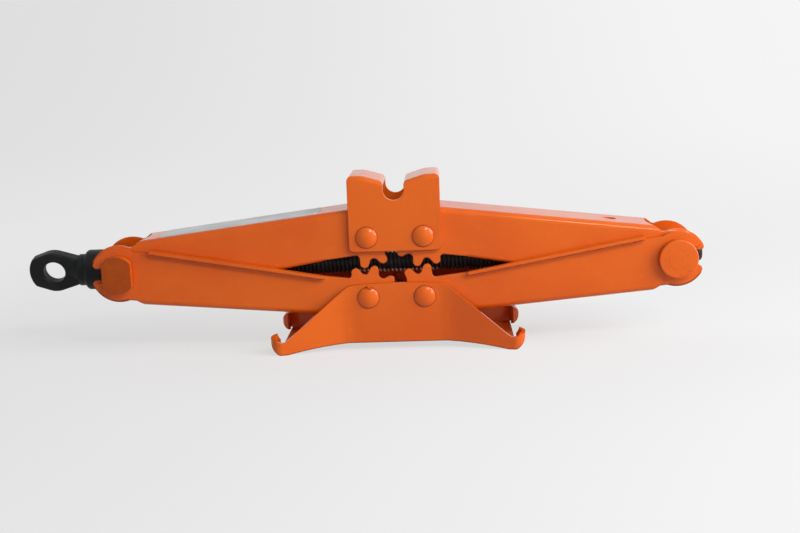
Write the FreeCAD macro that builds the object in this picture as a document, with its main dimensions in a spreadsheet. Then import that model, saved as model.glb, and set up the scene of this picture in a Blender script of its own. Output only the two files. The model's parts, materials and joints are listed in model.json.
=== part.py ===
"""Scissor jack: a screw draws two trunnions together and folds four geared channel arms upright.

Millimetres, +Z up, X along the screw and Y across the jack. The origin is on the ground, midway between
the two base pivots, and the eye that takes the crank is on the -X side.
"""
import FreeCAD, Part

import math
import os

import Sketcher
from FreeCAD import Placement, Rotation, Vector

DIMENSIONS = (
    ("pivot_spacing", 36, "between the two base pivots, and between the two head pivots"),
    ("arm_length", 161.6, "from an arm's gear pivot to its trunnion"),
    ("rest_angle", 6.8, "slope of the arms at rest, in degrees"),
    ("base_pivot_height", 33.8, "base pivots above the ground"),
    ("sheet", 2.5, "thickness of all the pressed sheet"),
    ("side_gap", 0.3, "side play between nested cheeks"),
    ("running_gap", 0.06, "radial play of a turning fit"),
    ("seat_gap", 0.02, "radial play of a riveted or pressed seat"),
    ("bend_radius", 4, "outside radius of a channel's bends"),
    ("upper_arm_width", 41.8, "outside width of the inner, upper arms"),
    ("tooth_count", 9, "teeth that a full turn of the gear ends would hold"),
    ("tooth_addendum", 2.4, "tooth tip beyond the pitch circle"),
    ("tooth_dedendum", 3.5, "tooth root inside the pitch circle"),
    ("tooth_round", 2.7, "radius of the tooth tips and roots"),
    ("tooth_phase", 3, "first tooth from the arm's own axis, in degrees"),
    ("edge_height", 10.9, "plain edge beside the teeth, from the pivot line"),
    ("edge_fillet", 2.2, "hollow where the last tooth meets the plain edge"),
    ("lip_start", 29, "inner end of an arm's turned lip, along the arm"),
    ("lip_end", 142, "outer end of an arm's turned lip, along the arm"),
    ("lip_inner_height", 11.4, "lip at its inner end, from the pivot line"),
    ("lip_outer_height", 17.6, "lip at its outer end, from the pivot line"),
    ("lip_width", 3.2, "how far a lip is turned out or in from its cheek"),
    ("lip_bend", 2.2, "outside radius of a lip's bend"),
    ("lower_web_inner", 13.4, "lower arm's web below the pivot line, at the teeth"),
    ("lower_web_outer", 18.5, "lower arm's web below the pivot line, at its outer end"),
    ("lower_web_end", 143.5, "outer end of a lower arm's web, along the arm"),
    ("upper_web_depth", 18.9, "upper arm's web above the pivot line"),
    ("upper_web_end", 145.4, "outer end of an upper arm's web at the cheeks, along the arm"),
    ("upper_web_hollow", 2.5, "how far that end is hollowed out between the cheeks"),
    ("nose_angle", 60, "where an upper arm's web end meets the nose, in degrees"),
    ("web_hole_radius", 4.2, "round hole in the right upper web"),
    ("web_hole_reach", 119.6, "that hole from the pivot, along the arm"),
    ("lower_ear_radius", 17.2, "round end of a lower arm"),
    ("upper_ear_radius", 18.4, "round end of an upper arm"),
    ("ear_shoulder", 15.4, "plain edge beside an ear on the open side, from the pivot line"),
    ("web_shoulder", 15.9, "plain edge beside an ear on the web side, from the pivot line"),
    ("ear_step", 5, "run of the step from a web's end to the ear"),
    ("left_ear_slot", 9.4, "height of the mouth in a left ear"),
    ("right_ear_slot", 11.4, "height of the mouth in a right ear"),
    ("ear_lip_round", 2.4, "rounding of the two lips of that mouth"),
    ("left_mouth_angle", 10, "how far a left ear's mouth is turned towards the web, in degrees"),
    ("right_mouth_angle", 2, "the same for a right ear, in degrees"),
    ("pin_radius", 5, "shank of the pivot rivets"),
    ("rivet_radius", 6.7, "head of the pivot rivets"),
    ("rivet_rim", 0.7, "straight rim under a rivet's dome"),
    ("rivet_dome", 2.1, "height of a rivet's dome"),
    ("head_half_length", 29.3, "half length of the head's cheeks"),
    ("head_top", 39.3, "head's shoulders above the head pivots"),
    ("head_bottom", 9.4, "head's lower edge below the head pivots"),
    ("head_corner", 3.2, "rounding of the head's lower corners"),
    ("head_bend", 3.2, "outside radius of the head's top bends"),
    ("saddle_flat", 19.9, "where the head's shoulders start to dip, from the middle"),
    ("saddle_angle", 17, "dip of the head's top towards the notch, in degrees"),
    ("saddle_blend", 20, "radius between a shoulder and the dip"),
    ("notch_width", 13.2, "notch in the head, along the jack"),
    ("notch_floor", 23.3, "bottom of the notch above the head pivots"),
    ("base_top_half", 31.5, "half length of the top edge of the base cheeks"),
    ("base_top_rise", 7.46, "ends of that top edge above the base pivots"),
    ("base_top_bulge", 285, "radius of that slightly arched top edge"),
    ("base_top_corner", 9, "rounding at the ends of that top edge"),
    ("wing_start", 32, "where the wings start to splay, from the middle"),
    ("wing_angle", 15, "splay of the wings seen from above, in degrees"),
    ("wing_bend", 10, "radius of the bend between cheek and wing"),
    ("foot_half_length", 81, "half length of the base over its feet"),
    ("foot_curl", 6, "radius of a foot's curled end, seen from above"),
    ("foot_curl_angle", 50, "how far the curl turns past straight across, in degrees"),
    ("foot_curl_run", 2.5, "straight end of the curl"),
    ("toe_run", 6.2, "where a front foot's lower edge leaves the ground, from the foot's end"),
    ("toe_height", 8.5, "lower edge at the end of a front foot, above the ground"),
    ("toe_round", 10, "radius of that lower edge, seen from the front"),
    ("foot_end_height", 11.4, "top of a front foot at its end, above the ground"),
    ("foot_dip_inset", 7.7, "hollow in the edge beside a front foot, from the foot's end"),
    ("foot_dip_height", 8, "bottom of that hollow above the ground"),
    ("foot_dip_radius", 4.2, "radius of that hollow"),
    ("rim_height", 9.6, "front foot's rim at its outer face, above the ground"),
    ("rim_angle", 12, "rise of that rim towards the end of the curl, in degrees"),
    ("rear_nose", 6, "rounding of a rear foot's end, seen from the front"),
    ("arch_inset", 11, "ends of the arch under the base, from the foot's end"),
    ("arch_flat", 26, "half length of the arch's level middle"),
    ("arch_height", 4.5, "rise of that arch"),
    ("neck_radius", 7.5, "trunnion journal in the ears"),
    ("disc_radius", 12.4, "trunnion's end discs"),
    ("disc_proud", 4.6, "thickness of the end discs"),
    ("disc_edge", 0.8, "rounding of the end discs"),
    ("nut_radius", 13, "middle of the nut trunnion"),
    ("thrust_flat", 9.4, "flats of the thrust trunnion, from its axis"),
    ("flat_corner", 3, "rounding between those flats and the discs"),
    ("screw_radius", 7, "outside of the screw's thread"),
    ("journal_radius", 6, "plain end of the screw in the thrust trunnion"),
    ("shoulder_gap", 0.5, "between the thrust trunnion and the shoulder of the screw"),
    ("screw_overrun", 19.4, "end of the screw beyond the nut trunnion's axis"),
    ("screw_chamfer", 1.4, "chamfer at the end of the screw"),
    ("stop_pin_radius", 1.5, "stop pin through the end of the screw"),
    ("stop_pin_length", 19, "length of the stop pin"),
    ("stop_pin_inset", 4, "stop pin from the end of the screw"),
    ("seat_washer_thick", 4.4, "hardened washer on the thrust trunnion"),
    ("race_thick", 3.2, "each race of the thrust bearing"),
    ("race_space", 4, "between the two races"),
    ("race_radius", 11.4, "outside of the races"),
    ("ball_radius", 2.3, "balls of the thrust bearing"),
    ("ball_gap", 0.1, "play of a ball in its grooves and its pocket"),
    ("ball_circle", 8.95, "radius of the ring of balls"),
    ("ball_count", 9, "balls in the thrust bearing"),
    ("cage_thick", 1.4, "ball cage along the screw"),
    ("cage_wall", 0.35, "cage inside and outside its ball pockets"),
    ("cap_radius", 13.1, "outside of the bearing's pressed cap"),
    ("cap_wall", 1.1, "wall of the cap"),
    ("cap_face", 1.8, "end face of the cap"),
    ("cap_bend", 2.6, "rounding of the cap's rim"),
    ("cap_lift", 0.6, "between the cap's skirt and the thrust trunnion"),
    ("collar_radius", 10.4, "collar of the eye"),
    ("collar_thick", 4.4, "length of that collar"),
    ("eye_reach", 47.5, "middle of the eye from the thrust trunnion"),
    ("eye_radius", 13.6, "outside of the eye"),
    ("eye_tip", 16.4, "eye's wider outer end from its middle"),
    ("eye_tip_half", 9.6, "half height of that end"),
    ("eye_tip_round", 3, "rounding of the corners of that end"),
    ("eye_hole_radius", 7.1, "hole of the eye"),
    ("eye_thick", 8.6, "thickness of the eye"),
    ("eye_edge", 1.6, "rounding of the forged eye"),
    ("eye_neck_radius", 8.1, "neck of the eye at its collar"),
    ("eye_root", 9.6, "end of the round neck from the middle of the eye"),
    ("eye_angle", 14, "how far the eye is turned about the screw, in degrees"),
    ("socket_depth", 6, "depth of the screw's seat in the eye"),
)

doc = FreeCAD.newDocument("scissor_jack")
sheet = doc.addObject("Spreadsheet::Sheet", "sizes")


class Size:
    """A length or an angle, together with the sheet expression that gives it."""

    def __init__(self, value, text):
        self.value = value
        self.text = text

    def __add__(self, other):
        other = as_size(other)
        return Size(self.value + other.value, f"({self.text} + {other.text})")

    def __radd__(self, other):
        return as_size(other) + self

    def __sub__(self, other):
        other = as_size(other)
        return Size(self.value - other.value, f"({self.text} - {other.text})")

    def __rsub__(self, other):
        return as_size(other) - self

    def __mul__(self, other):
        other = as_size(other)
        return Size(self.value * other.value, f"({self.text} * {other.text})")

    def __rmul__(self, other):
        return as_size(other) * self

    def __truediv__(self, other):
        other = as_size(other)
        return Size(self.value / other.value, f"({self.text} / {other.text})")

    def __rtruediv__(self, other):
        return as_size(other) / self

    def __neg__(self):
        return Size(-self.value, f"(-1 * {self.text})")


def as_size(number):
    """A plain number as a size."""
    return number if isinstance(number, Size) else Size(float(number), repr(float(number)))


def sine(angle):
    angle = as_size(angle)
    return Size(math.sin(math.radians(angle.value)), f"sin({angle.text})")


def cosine(angle):
    angle = as_size(angle)
    return Size(math.cos(math.radians(angle.value)), f"cos({angle.text})")


def tangent(angle):
    return sine(angle) / cosine(angle)


def angle_of(across, along):
    """The angle, in degrees, of a line that goes so far across and along."""
    value = math.degrees(math.atan2(across.value, along.value))
    return Size(value, f"(atan2({across.text}; {along.text}) / 1deg)")


def angle_with_cosine(ratio):
    return Size(math.degrees(math.acos(ratio.value)), f"(acos({ratio.text}) / 1deg)")


def root(square):
    return Size(math.sqrt(square.value), f"sqrt({square.text})")


def other_leg(long_side, leg):
    """The second leg of a right triangle."""
    return root(long_side * long_side - leg * leg)


def length_of(across, along):
    return root(across * across + along * along)


rows_used = 0


def cell(alias, content, note):
    """Adds one named cell to the sheet."""
    global rows_used
    rows_used += 1
    sheet.set(f"A{rows_used}", note)
    sheet.set(f"B{rows_used}", content)
    sheet.setAlias(f"B{rows_used}", alias)


def worked_out(alias, size, note):
    """Keeps a derived size in the sheet, under a name of its own."""
    cell(alias, "=" + size.text.replace("sizes.", ""), note)
    return Size(size.value, f"sizes.{alias}")


for dimension_name, dimension, meaning in DIMENSIONS:
    cell(dimension_name, str(dimension), meaning)
given = {name: Size(float(number), f"sizes.{name}") for name, number, _ in DIMENSIONS}

# Heights and half widths that several pieces share.
half_spacing = given["pivot_spacing"] / 2
trunnion_rise = given["arm_length"] * sine(given["rest_angle"])
trunnion_place = worked_out(
    "trunnion_place", half_spacing + given["arm_length"] * cosine(given["rest_angle"]), "trunnions from the middle"
)
screw_height = worked_out(
    "screw_height", given["base_pivot_height"] + trunnion_rise, "screw above the ground at rest"
)
head_height = worked_out(
    "head_height", given["base_pivot_height"] + trunnion_rise * 2, "head pivots above the ground at rest"
)
upper_half = given["upper_arm_width"] / 2
lower_half = worked_out(
    "lower_half", upper_half + given["side_gap"] + given["sheet"], "half width of the lower arms and of the head"
)
base_half = worked_out(
    "base_half", lower_half + given["side_gap"] + given["sheet"], "half width of the base cheeks"
)
beyond = worked_out("beyond", given["arm_length"] * 2, "past every piece, for cuts that run right through")
pin_hole = given["pin_radius"] + given["running_gap"]
pin_seat = given["pin_radius"] + given["seat_gap"]

# Tooth form: round tips and roots of one radius, joined by the straight line that touches both.
pitch_angle = 360 / given["tooth_count"]
half_pitch = pitch_angle / 2
tip_radius = half_spacing + given["tooth_addendum"]
root_radius = worked_out("root_radius", half_spacing - given["tooth_dedendum"], "radius of the tooth roots")
tip_centre = tip_radius - given["tooth_round"]
root_centre = root_radius + given["tooth_round"]
centres_along = tip_centre * cosine(half_pitch) - root_centre
centres_across = tip_centre * sine(half_pitch)
flank_normal = worked_out(
    "flank_normal",
    angle_of(centres_across, centres_along)
    + angle_with_cosine(2 * given["tooth_round"] / length_of(centres_across, centres_along)),
    "direction square to a tooth's flank, from the middle of a gap",
)
flank_low_along = root_centre + given["tooth_round"] * cosine(flank_normal)
flank_low_across = given["tooth_round"] * sine(flank_normal)
flank_low_radius = worked_out("flank_low_radius", length_of(flank_low_across, flank_low_along), "foot of a flank")
flank_low_angle = worked_out(
    "flank_low_angle", angle_of(flank_low_across, flank_low_along), "foot of a flank, from the middle of a gap"
)
flank_high_along = tip_centre * cosine(half_pitch) - given["tooth_round"] * cosine(flank_normal)
flank_high_across = tip_centre * sine(half_pitch) - given["tooth_round"] * sine(flank_normal)
flank_high_radius = worked_out(
    "flank_high_radius", length_of(flank_high_across, flank_high_along), "top of a flank"
)
flank_high_angle = worked_out(
    "flank_high_angle", half_pitch - angle_of(flank_high_across, flank_high_along), "top of a flank, from its tooth"
)
doc.recompute()


class Stop:
    """A corner of an outline, reached by a straight run or by an arc that turns left (1) or right (-1)."""

    def __init__(self, x, y, radius=None, turn=0, large=False):
        self.x = as_size(x)
        self.y = as_size(y)
        self.radius = radius
        self.turn = turn
        self.large = large

    def flipped(self, x_sign, y_sign):
        return Stop(self.x * x_sign, self.y * y_sign, self.radius, self.turn * x_sign * y_sign, self.large)

    def spot(self):
        return Vector(self.x.value, self.y.value, 0)


def mirrored_outline(half):
    """A half outline, followed by its own mirror image across the second axis."""
    image = []
    for number in reversed(range(len(half))):
        arriving = half[number + 1] if number + 1 < len(half) else Stop(0, 0)
        corner = half[number]
        image.append(Stop(-corner.x, corner.y, arriving.radius, arriving.turn, arriving.large))
    return half + image


def arc_between(start, stop):
    chord = stop.spot() - start.spot()
    rise = math.sqrt(max(stop.radius.value ** 2 - chord.Length ** 2 / 4, 0))
    left = Vector(-chord.y, chord.x, 0).normalize()
    side = stop.turn * (-1 if stop.large else 1)
    centre = start.spot() + chord * 0.5 + left * rise * side
    circle = Part.Circle(centre, Vector(0, 0, 1), stop.radius.value)
    ends = [math.atan2(spot.y - centre.y, spot.x - centre.x) for spot in (start.spot(), stop.spot())]
    if stop.turn < 0:
        ends.reverse()
    return Part.ArcOfCircle(circle, ends[0], ends[1])


def lock(sketch, kind, places, size):
    """Adds a constraint whose value comes from the sheet."""
    index = sketch.addConstraint(Sketcher.Constraint(kind, *places, size.value))
    sketch.setExpression(f"Constraints[{index}]", size.text)


def new_sketch(body, role, name):
    sketch = body.newObject("Sketcher::SketchObject", f"{body.Label}_{name}")
    plane = next(feature for feature in body.Origin.OriginFeatures if feature.Role == role)
    sketch.AttachmentSupport = [(plane, "")]
    sketch.MapMode = "FlatFace"
    return sketch


def trace(sketch, stops):
    """Draws a closed outline through its stops and ties every corner and radius to the sheet."""
    first = sketch.GeometryCount
    for number, stop in enumerate(stops):
        start = stops[number - 1]
        edge = arc_between(start, stop) if stop.turn else Part.LineSegment(start.spot(), stop.spot())
        sketch.addGeometry(edge, False)
    for number, stop in enumerate(stops):
        onward = (number + 1) % len(stops)
        end_point = 1 if stop.turn < 0 else 2
        start_point = 2 if stops[onward].turn < 0 else 1
        edge = first + number
        sketch.addConstraint(Sketcher.Constraint("Coincident", edge, end_point, first + onward, start_point))
        lock(sketch, "DistanceX", (-1, 1, edge, end_point), stop.x)
        lock(sketch, "DistanceY", (-1, 1, edge, end_point), stop.y)
        if stop.turn:
            lock(sketch, "Radius", (edge,), stop.radius)


def circle(sketch, x, y, radius):
    middle = Stop(x, y)
    edge = sketch.addGeometry(Part.Circle(middle.spot(), Vector(0, 0, 1), radius.value), False)
    lock(sketch, "DistanceX", (-1, 1, edge, 3), middle.x)
    lock(sketch, "DistanceY", (-1, 1, edge, 3), middle.y)
    lock(sketch, "Radius", (edge,), radius)


def new_body(label, place=(0, 0, 0), tilt=0, tilt_axis=Vector(0, 1, 0)):
    """A piece of its own, placed in the jack's frame and tilted about the Y axis unless told otherwise."""
    body = doc.addObject("PartDesign::Body", label)
    body.Label = label
    body.Placement = Placement(Vector(0, 0, 0), Rotation(tilt_axis, as_size(tilt).value))
    for axis, size in zip("xyz", place):
        body.setExpression(f"Placement.Base.{axis}", as_size(size).text)
    if isinstance(tilt, Size):
        body.setExpression("Placement.Rotation.Angle", tilt.text)
    return body


def pad(body, sketch, width, one_way=0):
    """Thickens a sketch by the same amount on both sides of its plane, or one way only: 1 with its normal."""
    feature = body.newObject("PartDesign::Pad", f"{sketch.Name}_pad")
    feature.Profile = sketch
    feature.SideType = "One side" if one_way else "Symmetric"
    feature.Reversed = one_way < 0
    feature.setExpression("Length", width.text)


def pocket(body, sketch, width=None, one_way=0):
    """Cuts a sketch to both sides of its plane or one way only, right through unless a width is given."""
    feature = body.newObject("PartDesign::Pocket", f"{sketch.Name}_pocket")
    feature.Profile = sketch
    feature.SideType = "One side" if one_way else "Symmetric"
    feature.Reversed = one_way > 0
    if width is None:
        feature.Type = "ThroughAll"
    else:
        feature.setExpression("Length", width.text)


def revolve(body, sketch, axis_role):
    feature = body.newObject("PartDesign::Revolution", f"{sketch.Name}_turned")
    axis = next(item for item in body.Origin.OriginFeatures if item.Role == axis_role)
    feature.Profile = sketch
    feature.ReferenceAxis = (axis, [""])
    feature.Angle = 360


def fillet(body, name, radius, chosen):
    """Rounds the edges of the piece so far that the given test picks out."""
    doc.recompute()
    edges = body.Tip.Shape.Edges
    names = [f"Edge{number}" for number, edge in enumerate(edges, start=1) if chosen(edge)]
    base = body.Tip
    feature = body.newObject("PartDesign::Fillet", f"{body.Label}_{name}")
    feature.Base = (base, names)
    feature.setExpression("Radius", radius.text)


NEAR = 0.01


def crossing_at(stops):
    """Picks the edges that run across the jack, through the given corners of a side view."""
    def chosen(edge):
        ends = [vertex.Point for vertex in edge.Vertexes]
        if len(ends) != 2 or abs(ends[0].x - ends[1].x) > NEAR or abs(ends[0].z - ends[1].z) > NEAR:
            return False
        return any(
            abs(ends[0].x - stop.x.value) < NEAR and abs(ends[0].z - stop.y.value) < NEAR for stop in stops
        )
    return chosen


def running_between(start, stop, half_width):
    """Picks the edges of a side view's run that lie at half the width to either side."""
    span = stop.spot() - start.spot()
    heading = Vector(span.x, 0, span.y).normalize()
    origin = Vector(start.x.value, 0, start.y.value)

    def chosen(edge):
        for vertex in edge.Vertexes:
            offset = vertex.Point - origin
            along = offset.dot(heading)
            apart = Vector(offset.x, 0, offset.z) - heading * along
            if abs(abs(vertex.Point.y) - half_width.value) > NEAR or apart.Length > NEAR:
                return False
        return len(edge.Vertexes) == 2 and edge.Length > span.Length / 2
    return chosen


def above(height, half_width):
    """Picks the edges that lie wholly above a height, at half the width to either side."""
    def chosen(edge):
        return all(
            vertex.Point.z > height.value - NEAR and abs(abs(vertex.Point.y) - half_width.value) < NEAR
            for vertex in edge.Vertexes
        )
    return chosen


def around_pivot(radius, angle, arc_radius=None, turn=0):
    """A stop at an angle from the arm's inner end, turning towards its open side."""
    return Stop(-radius * cosine(angle), radius * sine(angle), arc_radius, turn)


def tooth_stops(teeth, first_tooth):
    """Teeth from the plain edge round to the nose, which has the radius of the roots."""
    last = first_tooth + (teeth - 1) * pitch_angle
    low = around_pivot(flank_low_radius, last + half_pitch - flank_low_angle)
    high = around_pivot(flank_high_radius, last + flank_high_angle)
    share = (given["edge_height"] - low.y) / (high.y - low.y)
    stops = [Stop(low.x + share * (high.x - low.x), given["edge_height"])]
    for number in reversed(range(teeth)):
        tooth = first_tooth + number * pitch_angle
        gap = tooth - half_pitch
        stops.append(around_pivot(flank_high_radius, tooth + flank_high_angle))
        stops.append(around_pivot(flank_high_radius, tooth - flank_high_angle, given["tooth_round"], 1))
        stops.append(around_pivot(flank_low_radius, gap + flank_low_angle))
        if number:
            stops.append(around_pivot(flank_low_radius, gap - flank_low_angle, given["tooth_round"], -1))
    stops.append(around_pivot(root_radius, first_tooth - half_pitch, given["tooth_round"], -1))
    return stops


def ear_stops(radius, side):
    """The round ear with its journal hole and open mouth, from the web's side to the open side."""
    middle = given["arm_length"]
    mouth = (given["left_ear_slot"] if side < 0 else given["right_ear_slot"]) / 2
    hole = given["neck_radius"] + given["running_gap"]
    reach = other_leg(radius, mouth)
    throat = other_leg(hole, mouth)
    turned = given["left_mouth_angle"] if side < 0 else given["right_mouth_angle"]

    def on_mouth(out, up, *arc, **bow):
        x = middle + out * cosine(turned) + up * sine(turned)
        return Stop(x, up * cosine(turned) - out * sine(turned), *arc, **bow)

    return [
        Stop(middle - other_leg(radius, given["web_shoulder"]), -given["web_shoulder"]),
        on_mouth(reach, -mouth, radius, 1),
        on_mouth(throat, -mouth),
        on_mouth(throat, mouth, hole, -1, large=True),
        on_mouth(reach, mouth),
        Stop(middle - other_leg(radius, given["ear_shoulder"]), given["ear_shoulder"], radius, 1),
    ]


lip_slope = worked_out(
    "lip_slope",
    angle_of(given["lip_outer_height"] - given["lip_inner_height"], given["lip_end"] - given["lip_start"]),
    "rise of a lip along its arm, in degrees",
)


def lip_stops():
    """The open edge, cut lower by one sheet where the turned lip is set on."""
    sheet_drop = given["sheet"] * cosine(lip_slope)
    sheet_lean = given["sheet"] * sine(lip_slope)
    start, end = given["lip_start"], given["lip_end"]
    low, high = given["lip_inner_height"], given["lip_outer_height"]
    return [
        Stop(end + (high - given["ear_shoulder"]) * tangent(lip_slope), given["ear_shoulder"]),
        Stop(end + sheet_lean, high - sheet_drop),
        Stop(start + sheet_lean, low - sheet_drop),
        Stop(start + (low - given["edge_height"]) * tangent(lip_slope), given["edge_height"]),
    ]


def turned_lips(body, flips, bend_side, tip_side):
    """Sets the two lips on the cheeks: a section across the arm, drawn out along the slope of the lip."""
    along, up = flips
    sketch = new_sketch(body, "YZ_Plane", "lips")
    tilt = -along * up * lip_slope
    sketch.AttachmentOffset = Placement(Vector(0, 0, 0), Rotation(Vector(1, 0, 0), tilt.value))
    sketch.setExpression("AttachmentOffset.Base.y", (up * given["lip_inner_height"]).text)
    sketch.setExpression("AttachmentOffset.Base.z", (along * given["lip_start"]).text)
    sketch.setExpression("AttachmentOffset.Rotation.Angle", tilt.text)
    bend, thick = given["lip_bend"], given["sheet"]
    outward = 1 if tip_side.value > bend_side.value else -1
    section = [
        Stop(bend_side, -thick),
        Stop(tip_side, -thick),
        Stop(tip_side, 0),
        Stop(bend_side + outward * bend, 0),
        Stop(bend_side, -bend, bend, outward),
    ]
    for side in (-1, 1):
        trace(sketch, [stop.flipped(side, up) for stop in section])
    feature = body.newObject("PartDesign::Pad", f"{sketch.Name}_pad")
    feature.Profile = sketch
    feature.Reversed = along < 0
    feature.setExpression("Length", ((given["lip_end"] - given["lip_start"]) / cosine(lip_slope)).text)


def arm_blank(body, flips, width, web, ear, teeth, first_tooth):
    """The arm's side view at its full width, with the corners that a press leaves round."""
    toothed = tooth_stops(teeth, first_tooth)
    outline = [stop.flipped(*flips) for stop in web + ear + lip_stops() + toothed]
    sketch = new_sketch(body, "XZ_Plane", "side")
    trace(sketch, outline)
    circle(sketch, 0, 0, pin_hole)
    pad(body, sketch, width)
    fillet(body, "mouth", given["ear_lip_round"], crossing_at([ear[1].flipped(*flips), ear[4].flipped(*flips)]))
    fillet(body, "tooth_foot", given["edge_fillet"], crossing_at([toothed[0].flipped(*flips)]))


def channel_room(web_start, web_end, flips):
    """Side view of the room inside the channel: all that is not web, open beyond both ends of the web."""
    inner = Stop(web_start.x, web_start.y + given["sheet"])
    outer = Stop(web_end.x, web_end.y + given["sheet"])
    stops = [
        Stop(-beyond, beyond),
        Stop(-beyond, inner.y),
        inner,
        outer,
        Stop(web_end.x, -beyond),
        Stop(beyond, -beyond),
        Stop(beyond, beyond),
    ]
    return [stop.flipped(*flips) for stop in stops]


def lower_arm(side, teeth, first_tooth):
    """Outer channel, open upwards, with its lips turned out."""
    flips = (side, 1)
    name = "lower_arm_left" if side < 0 else "lower_arm_right"
    body = new_body(name, (side * half_spacing, 0, given["base_pivot_height"]), -side * given["rest_angle"])
    web_start = Stop(
        -other_leg(root_radius, given["lower_web_inner"]), -given["lower_web_inner"], root_radius, 1
    )
    web_end = Stop(given["lower_web_end"], -given["lower_web_outer"])
    step = Stop(given["lower_web_end"] + given["ear_step"], -given["web_shoulder"])
    ear = ear_stops(given["lower_ear_radius"], side)
    arm_blank(body, flips, lower_half * 2, [web_start, web_end, step], ear, teeth, first_tooth)
    fillet(
        body, "bends", given["bend_radius"],
        running_between(web_start.flipped(*flips), web_end.flipped(*flips), lower_half),
    )
    room = new_sketch(body, "XZ_Plane", "room")
    trace(room, channel_room(web_start, web_end, flips))
    inner_half = lower_half - given["sheet"]
    pocket(body, room, inner_half * 2)
    turned_lips(body, flips, inner_half, lower_half + given["lip_width"])
    return body


def upper_arm(side, teeth, first_tooth):
    """Inner channel, open downwards, with its lips turned in."""
    flips = (side, -1)
    name = "upper_arm_left" if side < 0 else "upper_arm_right"
    body = new_body(name, (side * half_spacing, 0, head_height), side * given["rest_angle"])
    depth = given["upper_web_depth"]
    nose = around_pivot(root_radius, -given["nose_angle"], root_radius, 1)
    web_start = Stop(0, -depth)
    web_end = Stop(given["upper_web_end"], -depth)
    step = Stop(given["upper_web_end"] + given["ear_step"], -given["web_shoulder"])
    ear = ear_stops(given["upper_ear_radius"], side)
    arm_blank(body, flips, upper_half * 2, [nose, web_start, web_end, step], ear, teeth, first_tooth)
    fillet(
        body, "bends", given["bend_radius"],
        running_between(web_start.flipped(*flips), web_end.flipped(*flips), upper_half),
    )
    room = new_sketch(body, "XZ_Plane", "room")
    trace(room, channel_room(web_start, web_end, flips))
    inner_half = upper_half - given["sheet"]
    pocket(body, room, inner_half * 2)
    turned_lips(body, flips, upper_half, inner_half - given["lip_width"])
    hollow = new_sketch(body, "XY_Plane", "web_end")
    depth_in = given["upper_web_hollow"]
    arc_radius = (inner_half * inner_half + depth_in * depth_in) / (2 * depth_in)
    ends = [Stop(web_end.x, -inner_half), Stop(web_end.x, inner_half, arc_radius, -1)]
    trace(hollow, [stop.flipped(side, 1) for stop in ends])
    pocket(body, hollow)
    if side > 0:
        hole = new_sketch(body, "XY_Plane", "web_hole")
        circle(hole, given["web_hole_reach"], 0, given["web_hole_radius"])
        pocket(body, hole)
    return body


def head_bracket():
    """Saddle under the car's sill: a channel open downwards, dipped and notched across the top."""
    body = new_body("head_bracket", (0, 0, head_height))
    half, top, bottom = given["head_half_length"], given["head_top"], given["head_bottom"]
    corner = given["head_corner"]
    slope = given["saddle_angle"]
    blend = given["saddle_blend"] * tangent(slope / 2)
    flat = given["saddle_flat"]
    notch = given["notch_width"] / 2
    notch_edge = top - (flat - notch) * tangent(slope)
    notch_middle = given["notch_floor"] + notch
    half_outline = [
        Stop(half - corner, -bottom),
        Stop(half, corner - bottom, corner, 1),
        Stop(half, top),
        Stop(flat + blend, top),
        Stop(flat - blend * cosine(slope), top - blend * sine(slope), given["saddle_blend"], 1),
        Stop(notch, notch_edge),
        Stop(notch, notch_middle),
    ]
    outline = mirrored_outline(half_outline)
    outline[len(half_outline)] = Stop(-notch, notch_middle, notch, -1)
    outline.insert(len(half_outline), Stop(0, given["notch_floor"], notch, -1))
    sketch = new_sketch(body, "XZ_Plane", "side")
    trace(sketch, outline)
    for side in (-1, 1):
        circle(sketch, side * half_spacing, 0, pin_seat)
    pad(body, sketch, lower_half * 2)
    fillet(body, "bends", given["head_bend"], above(notch_edge, lower_half))
    room = new_sketch(body, "XZ_Plane", "room")
    under = top - given["sheet"]
    trace(room, [
        Stop(-beyond, -beyond),
        Stop(beyond, -beyond),
        Stop(beyond, under),
        Stop(flat, under),
        Stop(0, under - flat * tangent(slope)),
        Stop(-flat, under),
        Stop(-beyond, under),
    ])
    pocket(body, room, (lower_half - given["sheet"]) * 2)
    return body


def foot_path(inset):
    """Plan of one front quarter of the base wall, from the bend out to the curled end of the foot."""
    splay, turn = given["wing_angle"], given["foot_curl_angle"]
    bend = given["wing_bend"] + inset
    bend_run = given["wing_bend"] * tangent(splay / 2)
    curl = given["foot_curl"] - inset
    curl_x = given["foot_half_length"] - given["foot_curl"]
    curl_y = (given["foot_curl"] - (curl_x - given["wing_start"]) * sine(splay)) / cosine(splay) - base_half
    end = Stop(curl_x + curl * cosine(turn), curl_y + curl * sine(turn), curl, 1)
    start_x = given["wing_start"] - bend_run
    centre_y = -base_half - given["wing_bend"]
    return [
        Stop(start_x, inset - base_half),
        Stop(start_x + bend * sine(splay), centre_y + bend * cosine(splay), bend, -1),
        Stop(curl_x - curl * sine(splay), curl_y - curl * cosine(splay)),
        end,
        Stop(end.x - given["foot_curl_run"] * sine(turn), end.y + given["foot_curl_run"] * cosine(turn)),
    ]


def base_plan(inset):
    """The whole plan outline of the base wall, at its outer face or at a given depth inside it."""
    quarter = foot_path(inset)
    front = mirrored_front(quarter)
    back = [Stop(-stop.x, -stop.y, stop.radius, stop.turn, stop.large) for stop in front]
    return front + back


def mirrored_front(quarter):
    """The front wall from the left foot to the right one."""
    left = mirrored_outline(quarter)[len(quarter):]
    return left + quarter


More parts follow.
